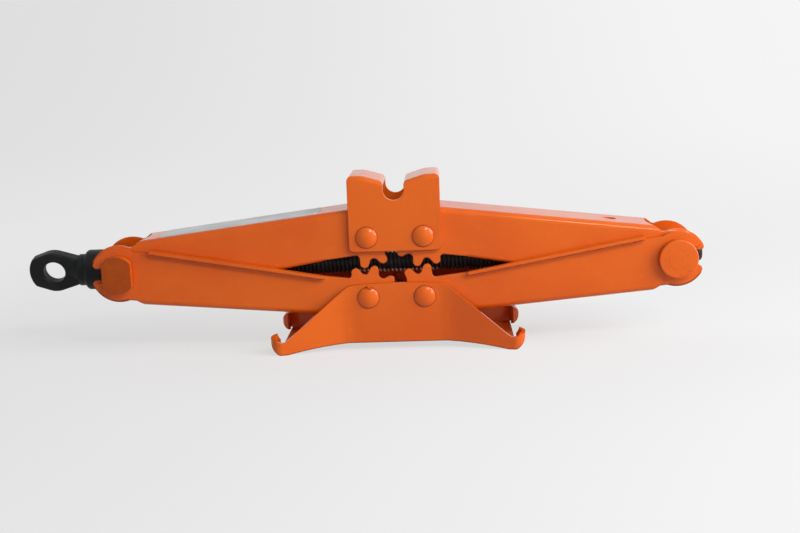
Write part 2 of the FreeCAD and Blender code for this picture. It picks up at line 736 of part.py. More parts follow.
def front_wall_outline(arch_radius, top):
    """Half of the front wall: its edge falls to a hollow beside a hooked foot."""
    half = given["foot_half_length"]
    dip, dip_x = given["foot_dip_radius"], half - given["foot_dip_inset"]
    dip_middle = given["foot_dip_height"] + dip
    fall, run = top.y - dip_middle, dip_x - top.x
    slope = worked_out(
        "wing_slope", angle_of(fall, run) + angle_of(dip, other_leg(length_of(fall, run), dip)),
        "fall of a front wing's edge to the hollow beside the foot, in degrees",
    )
    return [
        Stop(given["arch_flat"], given["arch_height"]),
        Stop(half - given["arch_inset"], 0, arch_radius, -1),
        Stop(half - given["toe_run"], 0),
        Stop(half, given["toe_height"], given["toe_round"], 1),
        Stop(half, given["foot_end_height"]),
        Stop(dip_x + dip, dip_middle),
        Stop(dip_x - dip * sine(slope), dip_middle - dip * cosine(slope), dip, -1),
        top,
    ]


def rear_wall_outline(arch_radius, top):
    """Half of the rear wall: its edge runs straight into a round nose above the floor."""
    half, nose = given["foot_half_length"], given["rear_nose"]
    nose_x, nose_z = half - nose, given["sheet"] + nose
    fall, run = top.y - nose_z, nose_x - top.x
    slope = worked_out(
        "rear_wing_slope", angle_of(fall, run) - angle_of(nose, other_leg(length_of(fall, run), nose)),
        "fall of a rear wing's edge to its nose, in degrees",
    )
    return [
        Stop(given["arch_flat"], given["arch_height"]),
        Stop(half - given["arch_inset"], 0, arch_radius, -1),
        Stop(nose_x, 0),
        Stop(nose_x, given["sheet"]),
        Stop(half, nose_z, nose, 1),
        Stop(nose_x + nose * sine(slope), nose_z + nose * cosine(slope), nose, 1),
        top,
    ]


def base_bracket():
    """Pressed tray on an arched floor: two cheeks that splay into hooked front feet and round rear feet."""
    body = new_body("base_bracket")
    half, thick = given["foot_half_length"], given["sheet"]
    arch, flat, rise = half - given["arch_inset"], given["arch_flat"], given["arch_height"]
    arch_run = arch - flat
    arch_radius = (arch_run * arch_run + rise * rise) / (2 * rise)
    top = Stop(given["base_top_half"], given["base_pivot_height"] + given["base_top_rise"])
    depth = half * 2
    walls = ((1, "front", front_wall_outline), (-1, "rear", rear_wall_outline))
    for one_way, name, wall_outline in walls:
        half_outline = wall_outline(arch_radius, top)
        outline = mirrored_outline(half_outline)
        top_left = Stop(-top.x, top.y, given["base_top_bulge"], 1)
        outline[len(half_outline)] = top_left
        sketch = new_sketch(body, "XZ_Plane", name)
        trace(sketch, outline)
        for side in (-1, 1):
            circle(sketch, side * half_spacing, given["base_pivot_height"], pin_seat)
        pad(body, sketch, half, one_way)

    hollow = new_sketch(body, "XY_Plane", "between_walls")
    trace(hollow, base_plan(given["sheet"]))
    pocket(body, hollow)
    fillet(body, "shoulders", given["base_top_corner"], crossing_at([top, top_left]))

    floor_end = half - given["foot_curl"]
    floor = new_sketch(body, "XZ_Plane", "floor")
    trace(floor, [
        Stop(-floor_end, thick),
        Stop(-floor_end, 0),
        Stop(-arch, 0),
        Stop(-flat, rise, arch_radius, -1),
        Stop(flat, rise),
        Stop(arch, 0, arch_radius, -1),
        Stop(floor_end, 0),
        Stop(floor_end, thick),
        Stop(arch, thick),
        Stop(flat, rise + thick, arch_radius, 1),
        Stop(-flat, rise + thick),
        Stop(-arch, thick, arch_radius, 1),
    ])
    pad(body, floor, depth)

    outside = new_sketch(body, "XY_Plane", "outside_walls")
    rim = depth
    trace(outside, [Stop(-rim, -rim), Stop(rim, -rim), Stop(rim, rim), Stop(-rim, rim)])
    trace(outside, base_plan(as_size(0)))
    pocket(body, outside)

    tip = foot_path(as_size(0))[-1]
    inner_tip = foot_path(given["sheet"])[-1]
    outer_y = -base_half - (floor_end - given["wing_start"]) * tangent(given["wing_angle"])
    hook_start = half - given["foot_dip_inset"] + given["foot_dip_radius"] / 2
    for side in (-1, 1):
        ends = new_sketch(body, "XY_Plane", "left_end" if side < 0 else "right_end")
        cut = [
            Stop(rim, tip.y),
            tip,
            inner_tip,
            Stop(inner_tip.x, -inner_tip.y),
            Stop(tip.x, -tip.y),
            Stop(rim, -tip.y),
        ]
        trace(ends, [Stop(stop.x, stop.y, stop.radius, stop.turn).flipped(side, 1) for stop in cut])
        pocket(body, ends)
        foot_rim = new_sketch(body, "YZ_Plane", "left_rim" if side < 0 else "right_rim")
        foot_rim.setExpression("AttachmentOffset.Base.z", (side * hook_start).text)
        trace(foot_rim, [
            Stop(outer_y * 2, given["rim_height"] + outer_y * tangent(given["rim_angle"])),
            Stop(0, given["rim_height"] - outer_y * tangent(given["rim_angle"])),
            Stop(0, rim),
            Stop(outer_y * 2, rim),
        ])
        pocket(body, foot_rim, None, side)
    return body


def rivet(label, x, z, half_grip):
    """Pivot rivet with a domed head on both sides."""
    body = new_body(label, (x, 0, z))
    edge, dome = given["rivet_radius"], given["rivet_dome"]
    rim = half_grip + given["rivet_rim"]
    dome_radius = (edge * edge + dome * dome) / (2 * dome)
    sketch = new_sketch(body, "XY_Plane", "section")
    trace(sketch, [
        Stop(0, -rim - dome),
        Stop(edge, -rim, dome_radius, 1),
        Stop(edge, -half_grip),
        Stop(given["pin_radius"], -half_grip),
        Stop(given["pin_radius"], half_grip),
        Stop(edge, half_grip),
        Stop(edge, rim),
        Stop(0, rim + dome, dome_radius, 1),
    ])
    revolve(body, sketch, "Y_Axis")
    return body


def trunnion_section(body, middle_radius):
    """Half section of a trunnion: its middle, the journals in the ears and the end discs."""
    inner = upper_half - given["sheet"] - given["side_gap"]
    outer = lower_half + given["side_gap"]
    face = outer + given["disc_proud"]
    neck, disc, edge = given["neck_radius"], given["disc_radius"], given["disc_edge"]
    half_section = [
        Stop(middle_radius, inner),
        Stop(neck, inner),
        Stop(neck, outer),
        Stop(disc, outer),
        Stop(disc, face - edge),
        Stop(disc - edge, face, edge, 1),
        Stop(0, face),
    ]
    lower = [Stop(stop.x, -stop.y) for stop in reversed(half_section)]
    lower[2] = Stop(disc, edge - face, edge, 1)
    sketch = new_sketch(body, "XY_Plane", "section")
    trace(sketch, lower + half_section)
    revolve(body, sketch, "Y_Axis")


def nut_trunnion():
    """Round bar between the right ears, tapped for the screw."""
    body = new_body("nut_trunnion", (trunnion_place, 0, screw_height))
    trunnion_section(body, given["nut_radius"])
    bore = new_sketch(body, "YZ_Plane", "thread_hole")
    circle(bore, 0, 0, given["screw_radius"] + given["running_gap"])
    pocket(body, bore)
    return body


def thrust_trunnion():
    """Bar with two flats between the left ears; the screw's plain end turns in it."""
    body = new_body("thrust_trunnion", (-trunnion_place, 0, screw_height))
    trunnion_section(body, given["disc_radius"])
    for side in (-1, 1):
        flat = new_sketch(body, "XZ_Plane", "left_flat" if side < 0 else "right_flat")
        disc, corner, face = given["disc_radius"], given["flat_corner"], given["thrust_flat"]
        reach = disc * 2
        corner_x = face - corner
        corner_z = other_leg(disc - corner, corner_x)
        outward = disc / (disc - corner)
        stops = [
            Stop(corner_x * outward, -corner_z * outward),
            Stop(reach, -corner_z * outward),
            Stop(reach, corner_z * outward),
            Stop(corner_x * outward, corner_z * outward),
            Stop(face, corner_z, corner, -1),
            Stop(face, -corner_z),
        ]
        stops[0] = Stop(corner_x * outward, -corner_z * outward, corner, -1)
        trace(flat, [stop.flipped(side, 1) for stop in stops])
        pocket(body, flat)
    bore = new_sketch(body, "YZ_Plane", "journal_hole")
    circle(bore, 0, 0, given["journal_radius"] + given["running_gap"])
    pocket(body, bore)
    return body


# Places along the screw, measured outwards from the thrust trunnion.
washer_face = given["thrust_flat"] + given["seat_washer_thick"]
rear_race_face = washer_face + given["race_thick"]
front_race_face = rear_race_face + given["race_space"]
cap_inside = front_race_face + given["race_thick"]
cap_outside = cap_inside + given["cap_face"]
collar_end = cap_outside + given["collar_thick"]
ball_middle = rear_race_face + given["race_space"] / 2
screw_reach = worked_out(
    "screw_reach", trunnion_place * 2 + given["screw_overrun"], "end of the screw from the thrust trunnion"
)
journal_bore = given["journal_radius"] + given["running_gap"]
journal_seat = given["journal_radius"] + given["seat_gap"]


def on_screw(label):
    """A piece on the screw's axis, in the frame of the thrust trunnion."""
    return new_body(label, (-trunnion_place, 0, screw_height))


def turned_ring(label, bore, outside, near, far):
    """Plain ring on the screw's axis, between two places along it."""
    body = on_screw(label)
    sketch = new_sketch(body, "XZ_Plane", "section")
    trace(sketch, [Stop(-far, bore), Stop(-near, bore), Stop(-near, outside), Stop(-far, outside)])
    revolve(body, sketch, "X_Axis")
    return body


def race(label, bore, near, far):
    """Washer of the thrust bearing with a round groove for the balls in one face."""
    body = turned_ring(label, bore, given["race_radius"], near, far)
    groove = new_sketch(body, "XZ_Plane", "groove")
    groove_radius = given["ball_radius"] + given["ball_gap"]
    circle(groove, -ball_middle, given["ball_circle"], groove_radius)
    feature = body.newObject("PartDesign::Groove", f"{label}_ball_groove")
    feature.Profile = groove
    axis = next(item for item in body.Origin.OriginFeatures if item.Role == "X_Axis")
    feature.ReferenceAxis = (axis, [""])
    feature.Angle = 360
    return body


def bearing_balls():
    """The loose balls, a group of separate solids."""
    balls = []
    for number in range(int(given["ball_count"].value)):
        ball = doc.addObject("Part::Sphere", f"ball_{number + 1}")
        turn = number * 360 / given["ball_count"]
        ball.setExpression("Radius", given["ball_radius"].text)
        ball.setExpression("Placement.Base.x", (-ball_middle).text)
        ball.setExpression("Placement.Base.y", (given["ball_circle"] * cosine(turn)).text)
        ball.setExpression("Placement.Base.z", (given["ball_circle"] * sine(turn)).text)
        balls.append(ball)
    group = doc.addObject("Part::Compound", "bearing_balls")
    group.Label = "bearing_balls"
    group.Links = balls
    group.setExpression("Placement.Base.x", (-trunnion_place).text)
    group.setExpression("Placement.Base.z", screw_height.text)
    return group


def ball_cage():
    """Flat ring with a round pocket for each ball."""
    hole_radius = given["ball_radius"] + given["ball_gap"]
    band = hole_radius + given["cage_wall"]
    body = turned_ring(
        "ball_cage", given["ball_circle"] - band, given["ball_circle"] + band,
        ball_middle - given["cage_thick"] / 2, ball_middle + given["cage_thick"] / 2,
    )
    hole = new_sketch(body, "YZ_Plane", "ball_pocket")
    circle(hole, given["ball_circle"], 0, hole_radius)
    cut = body.newObject("PartDesign::Pocket", "ball_cage_pocket")
    cut.Profile = hole
    cut.SideType = "Symmetric"
    cut.Type = "ThroughAll"
    ring = body.newObject("PartDesign::PolarPattern", "ball_cage_pockets")
    axis = next(item for item in body.Origin.OriginFeatures if item.Role == "X_Axis")
    ring.Originals = [cut]
    ring.Axis = (axis, [""])
    ring.Angle = 360
    ring.setExpression("Occurrences", given["ball_count"].text)
    body.Tip = ring
    return body


def bearing_cap():
    """Pressed cup that turns with the eye and keeps dirt out of the bearing."""
    body = on_screw("bearing_cap")
    outside, inside = given["cap_radius"], given["cap_radius"] - given["cap_wall"]
    bend = given["cap_bend"]
    skirt = given["thrust_flat"] + given["cap_lift"]
    sketch = new_sketch(body, "XZ_Plane", "section")
    trace(sketch, [
        Stop(-cap_outside, journal_seat),
        Stop(-cap_inside, journal_seat),
        Stop(-cap_inside, inside),
        Stop(-skirt, inside),
        Stop(-skirt, outside),
        Stop(bend - cap_outside, outside),
        Stop(-cap_outside, outside - bend, bend, 1),
    ])
    revolve(body, sketch, "X_Axis")
    return body


def beyond_on_faces(inner_end, half_thick):
    """Picks the edges of the eye's two faces, except the one at its inner end."""
    def chosen(edge):
        ends = [vertex.Point for vertex in edge.Vertexes]
        on_face = any(all(abs(end.y - side * half_thick.value) < NEAR for end in ends) for side in (-1, 1))
        return on_face and any(end.x < -inner_end.value - NEAR for end in ends)
    return chosen


def eye_head():
    """Forged eye for the crank's hook, with the collar that bears on the cap."""
    place = (-trunnion_place, 0, screw_height)
    body = new_body("eye_head", place, given["eye_angle"], tilt_axis=Vector(1, 0, 0))
    eye, middle = given["eye_radius"], given["eye_reach"]
    tip, tip_half = given["eye_tip"], given["eye_tip_half"]
    neck, half_thick = given["eye_neck_radius"], given["eye_thick"] / 2
    inner_end = collar_end - given["collar_thick"] / 2
    tip_x = other_leg(tip, tip_half)
    neck_x = middle - inner_end
    outer = angle_with_cosine(eye / tip) + angle_of(tip_half, tip_x)
    inner = angle_with_cosine(eye / length_of(neck, neck_x)) + angle_of(neck, neck_x)
    corners = [Stop(-middle - tip_x, -tip_half, tip, 1), Stop(-middle - tip_x, tip_half)]
    ring = new_sketch(body, "XZ_Plane", "ring")
    trace(ring, [
        corners[0],
        Stop(-middle - eye * cosine(outer), -eye * sine(outer)),
        Stop(-middle + eye * cosine(inner), -eye * sine(inner), eye, 1),
        Stop(-inner_end, -neck),
        Stop(-inner_end, neck),
        Stop(-middle + eye * cosine(inner), eye * sine(inner)),
        Stop(-middle - eye * cosine(outer), eye * sine(outer), eye, 1),
        corners[1],
    ])
    circle(ring, -middle, 0, given["eye_hole_radius"])
    pad(body, ring, given["eye_thick"])
    fillet(body, "tip_corners", given["eye_tip_round"], crossing_at(corners))
    fillet(body, "forged_edges", given["eye_edge"], beyond_on_faces(inner_end, half_thick))
    turned = new_sketch(body, "XZ_Plane", "section")
    trace(turned, [
        Stop(given["eye_root"] - middle, 0),
        Stop(-cap_outside, 0),
        Stop(-cap_outside, given["collar_radius"]),
        Stop(-collar_end, given["collar_radius"]),
        Stop(-collar_end, neck),
        Stop(given["eye_root"] - middle, half_thick),
    ])
    revolve(body, turned, "X_Axis")
    socket = new_sketch(body, "XZ_Plane", "socket")
    trace(socket, [
        Stop(-cap_outside - given["socket_depth"], 0),
        Stop(-cap_outside, 0),
        Stop(-cap_outside, journal_seat),
        Stop(-cap_outside - given["socket_depth"], journal_seat),
    ])
    cut = body.newObject("PartDesign::Groove", "eye_head_seat")
    cut.Profile = socket
    axis = next(item for item in body.Origin.OriginFeatures if item.Role == "X_Axis")
    cut.ReferenceAxis = (axis, [""])
    cut.Angle = 360
    return body


def lead_screw():
    """Screw: plain journal at the eye, thread from the thrust trunnion to the far end."""
    body = on_screw("lead_screw")
    radius, journal, chamfer = given["screw_radius"], given["journal_radius"], given["screw_chamfer"]
    start = cap_outside + given["socket_depth"]
    shoulder = given["thrust_flat"] + given["shoulder_gap"]
    reach = screw_reach
    sketch = new_sketch(body, "XZ_Plane", "section")
    trace(sketch, [
        Stop(-start, 0),
        Stop(reach, 0),
        Stop(reach, radius - chamfer),
        Stop(reach - chamfer, radius),
        Stop(shoulder, radius),
        Stop(shoulder, journal),
        Stop(-start, journal),
    ])
    revolve(body, sketch, "X_Axis")
    hole = new_sketch(body, "XZ_Plane", "pin_hole")
    circle(hole, reach - given["stop_pin_inset"], 0, given["stop_pin_radius"] + given["seat_gap"])
    pocket(body, hole)
    return body


def stop_pin():
    """Pin across the end of the screw, which keeps the nut from running off."""
    pin = doc.addObject("Part::Cylinder", "stop_pin")
    pin.Label = "stop_pin"
    pin.setExpression("Radius", given["stop_pin_radius"].text)
    pin.setExpression("Height", given["stop_pin_length"].text)
    pin.Placement = Placement(Vector(0, 0, 0), Rotation(Vector(1, 0, 0), 90))
    reach = screw_reach - given["stop_pin_inset"] - trunnion_place
    place = (reach, given["stop_pin_length"] / 2, screw_height)
    for axis, size in zip("xyz", place):
        pin.setExpression(f"Placement.Base.{axis}", size.text)
    return pin


early_teeth = given["tooth_phase"]
late_teeth = given["tooth_phase"] + half_pitch
pieces = [
    base_bracket(),
    lower_arm(-1, 4, early_teeth),
    lower_arm(1, 3, late_teeth),
    upper_arm(-1, 3, late_teeth),
    upper_arm(1, 4, early_teeth),
    head_bracket(),
    nut_trunnion(),
    thrust_trunnion(),
    turned_ring("seat_washer", journal_bore, given["race_radius"], given["thrust_flat"], washer_face),
    race("race_rear", journal_bore, washer_face, rear_race_face),
    race("race_front", journal_seat, front_race_face, cap_inside),
    bearing_balls(),
    ball_cage(),
    bearing_cap(),
    eye_head(),
    lead_screw(),
    stop_pin(),
]
for side, word in ((-1, "left"), (1, "right")):
    pieces.append(rivet(f"base_pin_{word}", side * half_spacing, given["base_pivot_height"], base_half))
    pieces.append(rivet(f"head_pin_{word}", side * half_spacing, head_height, lower_half))

doc.recompute()
for item in doc.Objects:
    if "Invalid" in item.State or "Error" in item.State:
        raise RuntimeError(f"{item.Name} did not recompute: {item.State}")
for piece in pieces:
    if piece.Shape.isNull() or not piece.Shape.isValid():
        raise RuntimeError(f"{piece.Label} has no valid shape")

os.makedirs("parts", exist_ok=True)
for piece in pieces:
    piece.Shape.exportStep(f"parts/{piece.Label}.step")
    print(f"{piece.Label}: {len(piece.Shape.Solids)} solid, {piece.Shape.Volume:.0f} mm3")
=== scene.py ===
# %% [markdown]
# # An orange scissor jack, dressed for its portrait
# The jack lies folded on white paper, its crank eye to the left. Its solids come ready made from a packed
# CAD model, in metres, so nothing here has to be placed by eye. Blender adds what a CAD model leaves out:
# the thread of the screw, the label film, paint that looks sprayed, and the light of a small studio.

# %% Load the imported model
import json
import math

import bmesh
import bpy
from mathutils import Matrix, Vector


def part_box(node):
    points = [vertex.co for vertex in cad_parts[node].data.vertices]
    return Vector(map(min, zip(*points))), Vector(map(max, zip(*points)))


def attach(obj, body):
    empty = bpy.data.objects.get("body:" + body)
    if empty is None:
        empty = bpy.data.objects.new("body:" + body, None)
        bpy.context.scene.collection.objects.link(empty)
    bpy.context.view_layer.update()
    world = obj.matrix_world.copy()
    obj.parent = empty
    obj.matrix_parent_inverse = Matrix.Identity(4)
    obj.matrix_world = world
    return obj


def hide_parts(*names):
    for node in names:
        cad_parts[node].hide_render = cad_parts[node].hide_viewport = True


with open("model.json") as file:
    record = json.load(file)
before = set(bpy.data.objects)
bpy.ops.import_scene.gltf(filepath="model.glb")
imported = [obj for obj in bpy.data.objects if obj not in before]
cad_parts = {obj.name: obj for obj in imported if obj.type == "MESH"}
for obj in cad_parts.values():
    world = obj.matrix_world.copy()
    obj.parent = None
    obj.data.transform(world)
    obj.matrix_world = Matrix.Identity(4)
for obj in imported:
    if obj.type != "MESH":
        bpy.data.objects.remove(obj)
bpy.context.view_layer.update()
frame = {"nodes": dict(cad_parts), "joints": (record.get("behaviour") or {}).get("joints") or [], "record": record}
nodes = frame["nodes"]
MM = 0.001

# %% [markdown]
# ## Sizes read from the model
# The label, the paint nib and the thread sit on CAD pieces, so their places are worked out from those
# pieces' own boxes and from the joints that the record states. If the jack is packed again a little
# higher or longer, they follow it.

# %% Find the pivots and the screw line
joint_spot = {joint["name"]: Vector(joint["pos_m"]) for joint in frame["joints"]}
screw_line = joint_spot["screw_turn"]
head_pivot = joint_spot["head_pivot"]
left_trunnion = joint_spot["upper_left_pivot"]
right_trunnion = joint_spot["nut_trunnion_pivot"]
arm_run = left_trunnion - head_pivot
arm_slope = math.atan2(-arm_run.z, -arm_run.x)
print(f"arms slope {math.degrees(arm_slope):.2f} degrees, screw at {screw_line.z / MM:.1f} mm")

# %% [markdown]
# ## Wires
# A finish is a tree of nodes, and most of those nodes only do sums. Placed one by one they make long
# code, so a Wire stands for one output socket and turns Python's operators into Math nodes. The reflected
# forms let a plain number come first, as in 1 - mask. Colours and vectors go through Vector Math instead,
# because a Math node would turn a colour grey.

# %% Define the wires
class Wire:
    """One output socket; sums and products of wires become nodes."""

    def __init__(self, owner, socket):
        self.owner = owner
        self.socket = socket

    def joined(self, operation, first, second):
        many = self.socket.type in ("VECTOR", "RGBA")
        kind = "ShaderNodeVectorMath" if many else "ShaderNodeMath"
        return self.owner.node(kind, {"operation": operation}, {0: first, 1: second})

    def __add__(self, other):
        return self.joined("ADD", self, other)

    def __radd__(self, other):
        return self.joined("ADD", other, self)

    def __sub__(self, other):
        return self.joined("SUBTRACT", self, other)

    def __rsub__(self, other):
        return self.joined("SUBTRACT", other, self)

    def __mul__(self, other):
        return self.joined("MULTIPLY", self, other)

    def __rmul__(self, other):
        return self.joined("MULTIPLY", other, self)


print("wires can be added, subtracted and multiplied")

# %% [markdown]
# ## One method for any other node
# Some nodes are no sums: a noise, a light, a mix of two shaders. They all come from one method that takes
# the node's type, then its settings, then what goes into its sockets, and hands back a Wire, so that
# calls can be nested like any other Python. A few short methods give plain names to what is asked most
# often of a place. The same class serves a material and, later on, the room around the jack.

# %% Define the node tree
class Nodes:
    """A node tree with one method that makes any node."""

    def __init__(self, tree):
        self.tree = tree

    def node(self, kind, settings=None, sockets=None, output=0):
        made = self.tree.nodes.new(kind)
        for name, value in (settings or {}).items():
            setattr(made, name, value)
        for key, value in (sockets or {}).items():
            self.feed(made.inputs[key], value)
        return Wire(self, made.outputs[output])

    def feed(self, socket, value):
        """Links a wire to a socket, or sets the socket to a plain value."""
        if isinstance(value, Wire):
            self.tree.links.new(value.socket, socket)
        else:
            socket.default_value = value

    def place(self):
        """Where a point is on the jack at rest, in metres."""
        return self.node("ShaderNodeTexCoord", output="Object")

    def part_of(self, vector, axis):
        return self.node("ShaderNodeSeparateXYZ", sockets={0: vector}, output=axis)

    def length(self, vector):
        return self.node("ShaderNodeVectorMath", {"operation": "LENGTH"}, {0: vector}, output="Value")

    def unsigned(self, value):
        """A value without its sign, so that both sides of the jack count alike."""
        return self.node("ShaderNodeMath", {"operation": "ABSOLUTE"}, {0: value})


print("any node can be made in one line")

# %% [markdown]
# ## Finishes
# A finish is a material with a Principled shader at its end. What the paint and the steel of this jack
# are made of comes down to a few steps: a noise, a ramp that cuts the noise into soft patches, one colour
# over another, edges that are eased in the shading, and the bump of a fine relief. Each is a method with
# a plain name. Places are in the jack's own frame, so a pattern keeps its size and stays on its piece
# when the piece moves.

# %% Define the finishes
EDGE_SAMPLES = 6


class Finish(Nodes):
    """A material with a Principled shader at its end."""

    def __init__(self, name):
        self.material = bpy.data.materials.new(name)
        self.material.use_nodes = True
        super().__init__(self.material.node_tree)
        self.shader = self.tree.nodes["Principled BSDF"]

    def noise(self, vector, scale, detail=2.0, rough=0.5):
        sockets = {"Vector": vector, "Scale": scale, "Detail": detail, "Roughness": rough}
        return self.node("ShaderNodeTexNoise", sockets=sockets)

    def ramp(self, value, low, high, bottom=0.0, top=1.0):
        """A value eased from one level to another while the input goes from low to high."""
        sockets = {"Value": value, "From Min": low, "From Max": high, "To Min": bottom, "To Max": top}
        return self.node("ShaderNodeMapRange", {"interpolation_type": "SMOOTHSTEP"}, sockets)

    def patches(self, vector, scale, low, high, detail=2.0, rough=0.5, bottom=0.0, top=1.0):
        """A noise cut into soft patches."""
        return self.ramp(self.noise(vector, scale, detail, rough), low, high, bottom, top)

    def blend(self, mask, first, second):
        """One colour over another, by a mask."""
        return self.node("ShaderNodeMix", {"data_type": "RGBA"}, {0: mask, 6: first, 7: second}, output=2)

    def facing(self):
        """The surface's direction as the mesh has it."""
        return self.node("ShaderNodeNewGeometry", output="Normal")

    def soft_edge(self, radius):
        """The surface's direction, eased over every edge nearer than the radius."""
        return self.node("ShaderNodeBevel", {"samples": EDGE_SAMPLES}, {"Radius": radius})

    def bump(self, height, distance, strength=1.0, normal=None):
        sockets = {"Strength": strength, "Distance": distance, "Height": height}
        if normal is not None:
            sockets["Normal"] = normal
        return self.node("ShaderNodeBump", sockets=sockets)

    def surface(self, **sockets):
        """Feeds the Principled shader; underscores stand for the spaces in its socket names."""
        for name, value in sockets.items():
            self.feed(self.shader.inputs[name.replace("_", " ")], value)
        return self.material


print("finishes are ready")

# %% [markdown]
# ## The colours of the paint
# The pressed sheet is dipped or sprayed in one thick coat of gloss orange. A colour is easiest to pick as
# it looks on a screen, but shaders reckon in linear light, so tint turns the one into the other. One
# orange is not enough: the paint is deeper where it pooled, paler under dust, and brown where shade is painted in.

# %% Pick the colours of the enamel
def tint(red, green, blue):
    """A colour as it is seen on a screen, 0 to 255, turned into the linear light that shaders use."""
    def linear(level):
        level /= 255
        return level / 12.92 if level <= 0.04045 else ((level + 0.055) / 1.055) ** 2.4
    return (linear(red), linear(green), linear(blue), 1.0)


ENAMEL = tint(214, 94, 14)
ENAMEL_DEEP = tint(206, 84, 10)
ENAMEL_DUSTY = tint(221, 108, 36)
SPECK = tint(120, 48, 18)
# Painted shade: the dark ring round the rivet heads.
CREVICE_SHADE = tint(128, 40, 6)
# Painted shade: the dark line along the edges that face down.
LOWER_EDGE_SHADE = tint(92, 30, 10)
print("the enamel in linear light:", [round(level, 3) for level in ENAMEL[:3]])

# %% [markdown]
# ## Painted shade on the paint
# A dark line of painted shade runs round every rivet head and along the lower edges of the sheet. A crevice
# is a ring round a line across the jack, so its mask needs only the distance from that line, and the
# rivets' own boxes say where it is. The lower edges are found in the shading: where the surface, eased over
# its edges, leans further down than the mesh has it, an edge is close below.

# %% Find where the shade is painted
RIVETS = ("base_pin_left", "base_pin_right", "head_pin_left", "head_pin_right")
CREVICE_GAP = 0.1 * MM
CREVICE_INSIDE, CREVICE_OUTSIDE = 0.35 * MM, 0.7 * MM
LOWER_EDGE_SHADE_REACH = 1.4 * MM
LEAN_FROM, LEAN_FULL = -0.06, -0.4


def from_axis(finish, place, spot):
    """How far a point is from a line through the spot and straight across the jack."""
    return finish.length((place - tuple(spot)) * (1.0, 0.0, 1.0))


def ring(finish, distance, radius, inside, outside):
    """1 on a circle, easing to 0 at the given widths inside and outside of it."""
    return finish.ramp(distance, radius - inside, radius) * finish.ramp(distance, radius + outside, radius)


def crevice_shade(finish, place):
    """Painted shade: the dark line round each rivet head."""
    mask = 0.0
    for name in RIVETS:
        low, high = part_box(name)
        distance = from_axis(finish, place, (low + high) / 2)
        radius = (high.z - low.z) / 2 + CREVICE_GAP
        mask = mask + ring(finish, distance, radius, CREVICE_INSIDE, CREVICE_OUTSIDE)
    return mask


def lower_edge_shade(finish):
    """Painted shade: the dark line along the edges that face down."""
    leans_down = finish.part_of(finish.soft_edge(LOWER_EDGE_SHADE_REACH) - finish.facing(), "Z")
    return finish.ramp(leans_down, LEAN_FROM, LEAN_FULL)


print("painted_shade round", len(RIVETS), "rivets and along the lower edges")

# %% [markdown]
# ## Orange enamel
# Seen close, a thick coat has a fine orange-peel skin over long, shallow waves, pools a little darker in
# places, and picks up a film of dust. A clear coat layer over the colour gives the sharp shine, and the
# bumps of waves and peel break its edges. The colour drifts slowly with a large noise, so no two arms are
# quite the same. A few pieces have marks or a relief of their own, and the function takes those as
# functions.

# %% Make the orange enamel
DUST_SHARE, SPECK_SHARE, CREVICE_SHADE_SHARE, LOWER_EDGE_SHADE_SHARE = 0.22, 0.12, 0.7, 0.85
PAINT_ROUND = 0.8 * MM
WAVE_HEIGHT, WAVE_STRENGTH = 0.6 * MM, 0.18
PEEL_HEIGHT, PEEL_STRENGTH = 0.05 * MM, 0.35


def enamel(name, marks=None, relief=None):
    """Gloss orange paint; marks gives a mask and the two colours under it, relief a height and its size."""
    finish = Finish(name)
    place = finish.place()
    drift = finish.patches(place, scale=14, detail=3, low=0.35, high=0.68)
    dust = finish.patches(place, scale=120, detail=6, rough=0.62, low=0.52, high=0.74)
    specks = finish.patches(place, scale=700, low=0.70, high=0.78)
    colour = finish.blend(drift, ENAMEL, ENAMEL_DEEP)
    colour = finish.blend(dust * DUST_SHARE, colour, ENAMEL_DUSTY)
    colour = finish.blend(specks * SPECK_SHARE, colour, SPECK)
    # Painted shade: a dark ring round each rivet head.
    colour = finish.blend(crevice_shade(finish, place) * CREVICE_SHADE_SHARE, colour, CREVICE_SHADE)
    # Painted shade along the edges that face down.
    colour = finish.blend(lower_edge_shade(finish) * LOWER_EDGE_SHADE_SHARE, colour, LOWER_EDGE_SHADE)
    rough = 0.34 + dust * 0.12 + drift * 0.05
    coat = 0.75 - dust * 0.3
    if marks is not None:
        mask, light, dark = marks(finish, place)
        colour = finish.blend(mask, colour, finish.blend(drift, light, dark))
        rough = rough + mask * 0.12
        coat = coat - mask * 0.4
    waves = finish.noise(place, scale=70, detail=1)
    normal = finish.bump(waves, WAVE_HEIGHT, WAVE_STRENGTH, finish.soft_edge(PAINT_ROUND))
    if relief is not None:
        height, size = relief(finish, place)
        normal = finish.bump(height, size, normal=normal)
    peel = finish.noise(place, scale=820, detail=1.5)
    normal = finish.bump(peel, PEEL_HEIGHT, PEEL_STRENGTH, normal)
    return finish.surface(
        Base_Color=colour, Roughness=rough, Specular_IOR_Level=0.1, Coat_Weight=coat, Coat_IOR=1.34,
        Coat_Roughness=0.14, Normal=normal,
    )


orange_enamel = enamel("orange_enamel")
print("made", orange_enamel.name)

# %% [markdown]
# ## The trunnion ends
# The ends of the two trunnions are turned, and they wear differently from the sheet. Oil from the bearing
# has browned the paint on the left one, round a small centre mark. The nut on the right keeps a faint
# turned circle under its paint, broken where the paint is thicker, and a few chips. Both are masks over
# the same enamel.

# %% Mark the trunnion ends
FACE_FROM, FACE_FULL = 0.4 * MM, 0.1 * MM
CENTRE_RIM, CENTRE_CORE, CENTRE_SHARE = 1.1 * MM, 0.4 * MM, 0.08
CIRCLE_RADIUS, CIRCLE_EASE, CIRCLE_SHARE = 6.4 * MM, 0.5 * MM, 0.5
CHIP_SHARE = 0.7
STAIN, STAIN_DEEP = tint(160, 70, 6), tint(146, 60, 4)
WORN, WORN_DEEP = tint(176, 68, 8), tint(150, 54, 8)


def end_face(finish, place, name):
    """1 on the two end faces of a trunnion."""
    across = finish.unsigned(finish.part_of(place, "Y"))
    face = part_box(name)[1].y
    return finish.ramp(across, face - FACE_FROM, face - FACE_FULL)


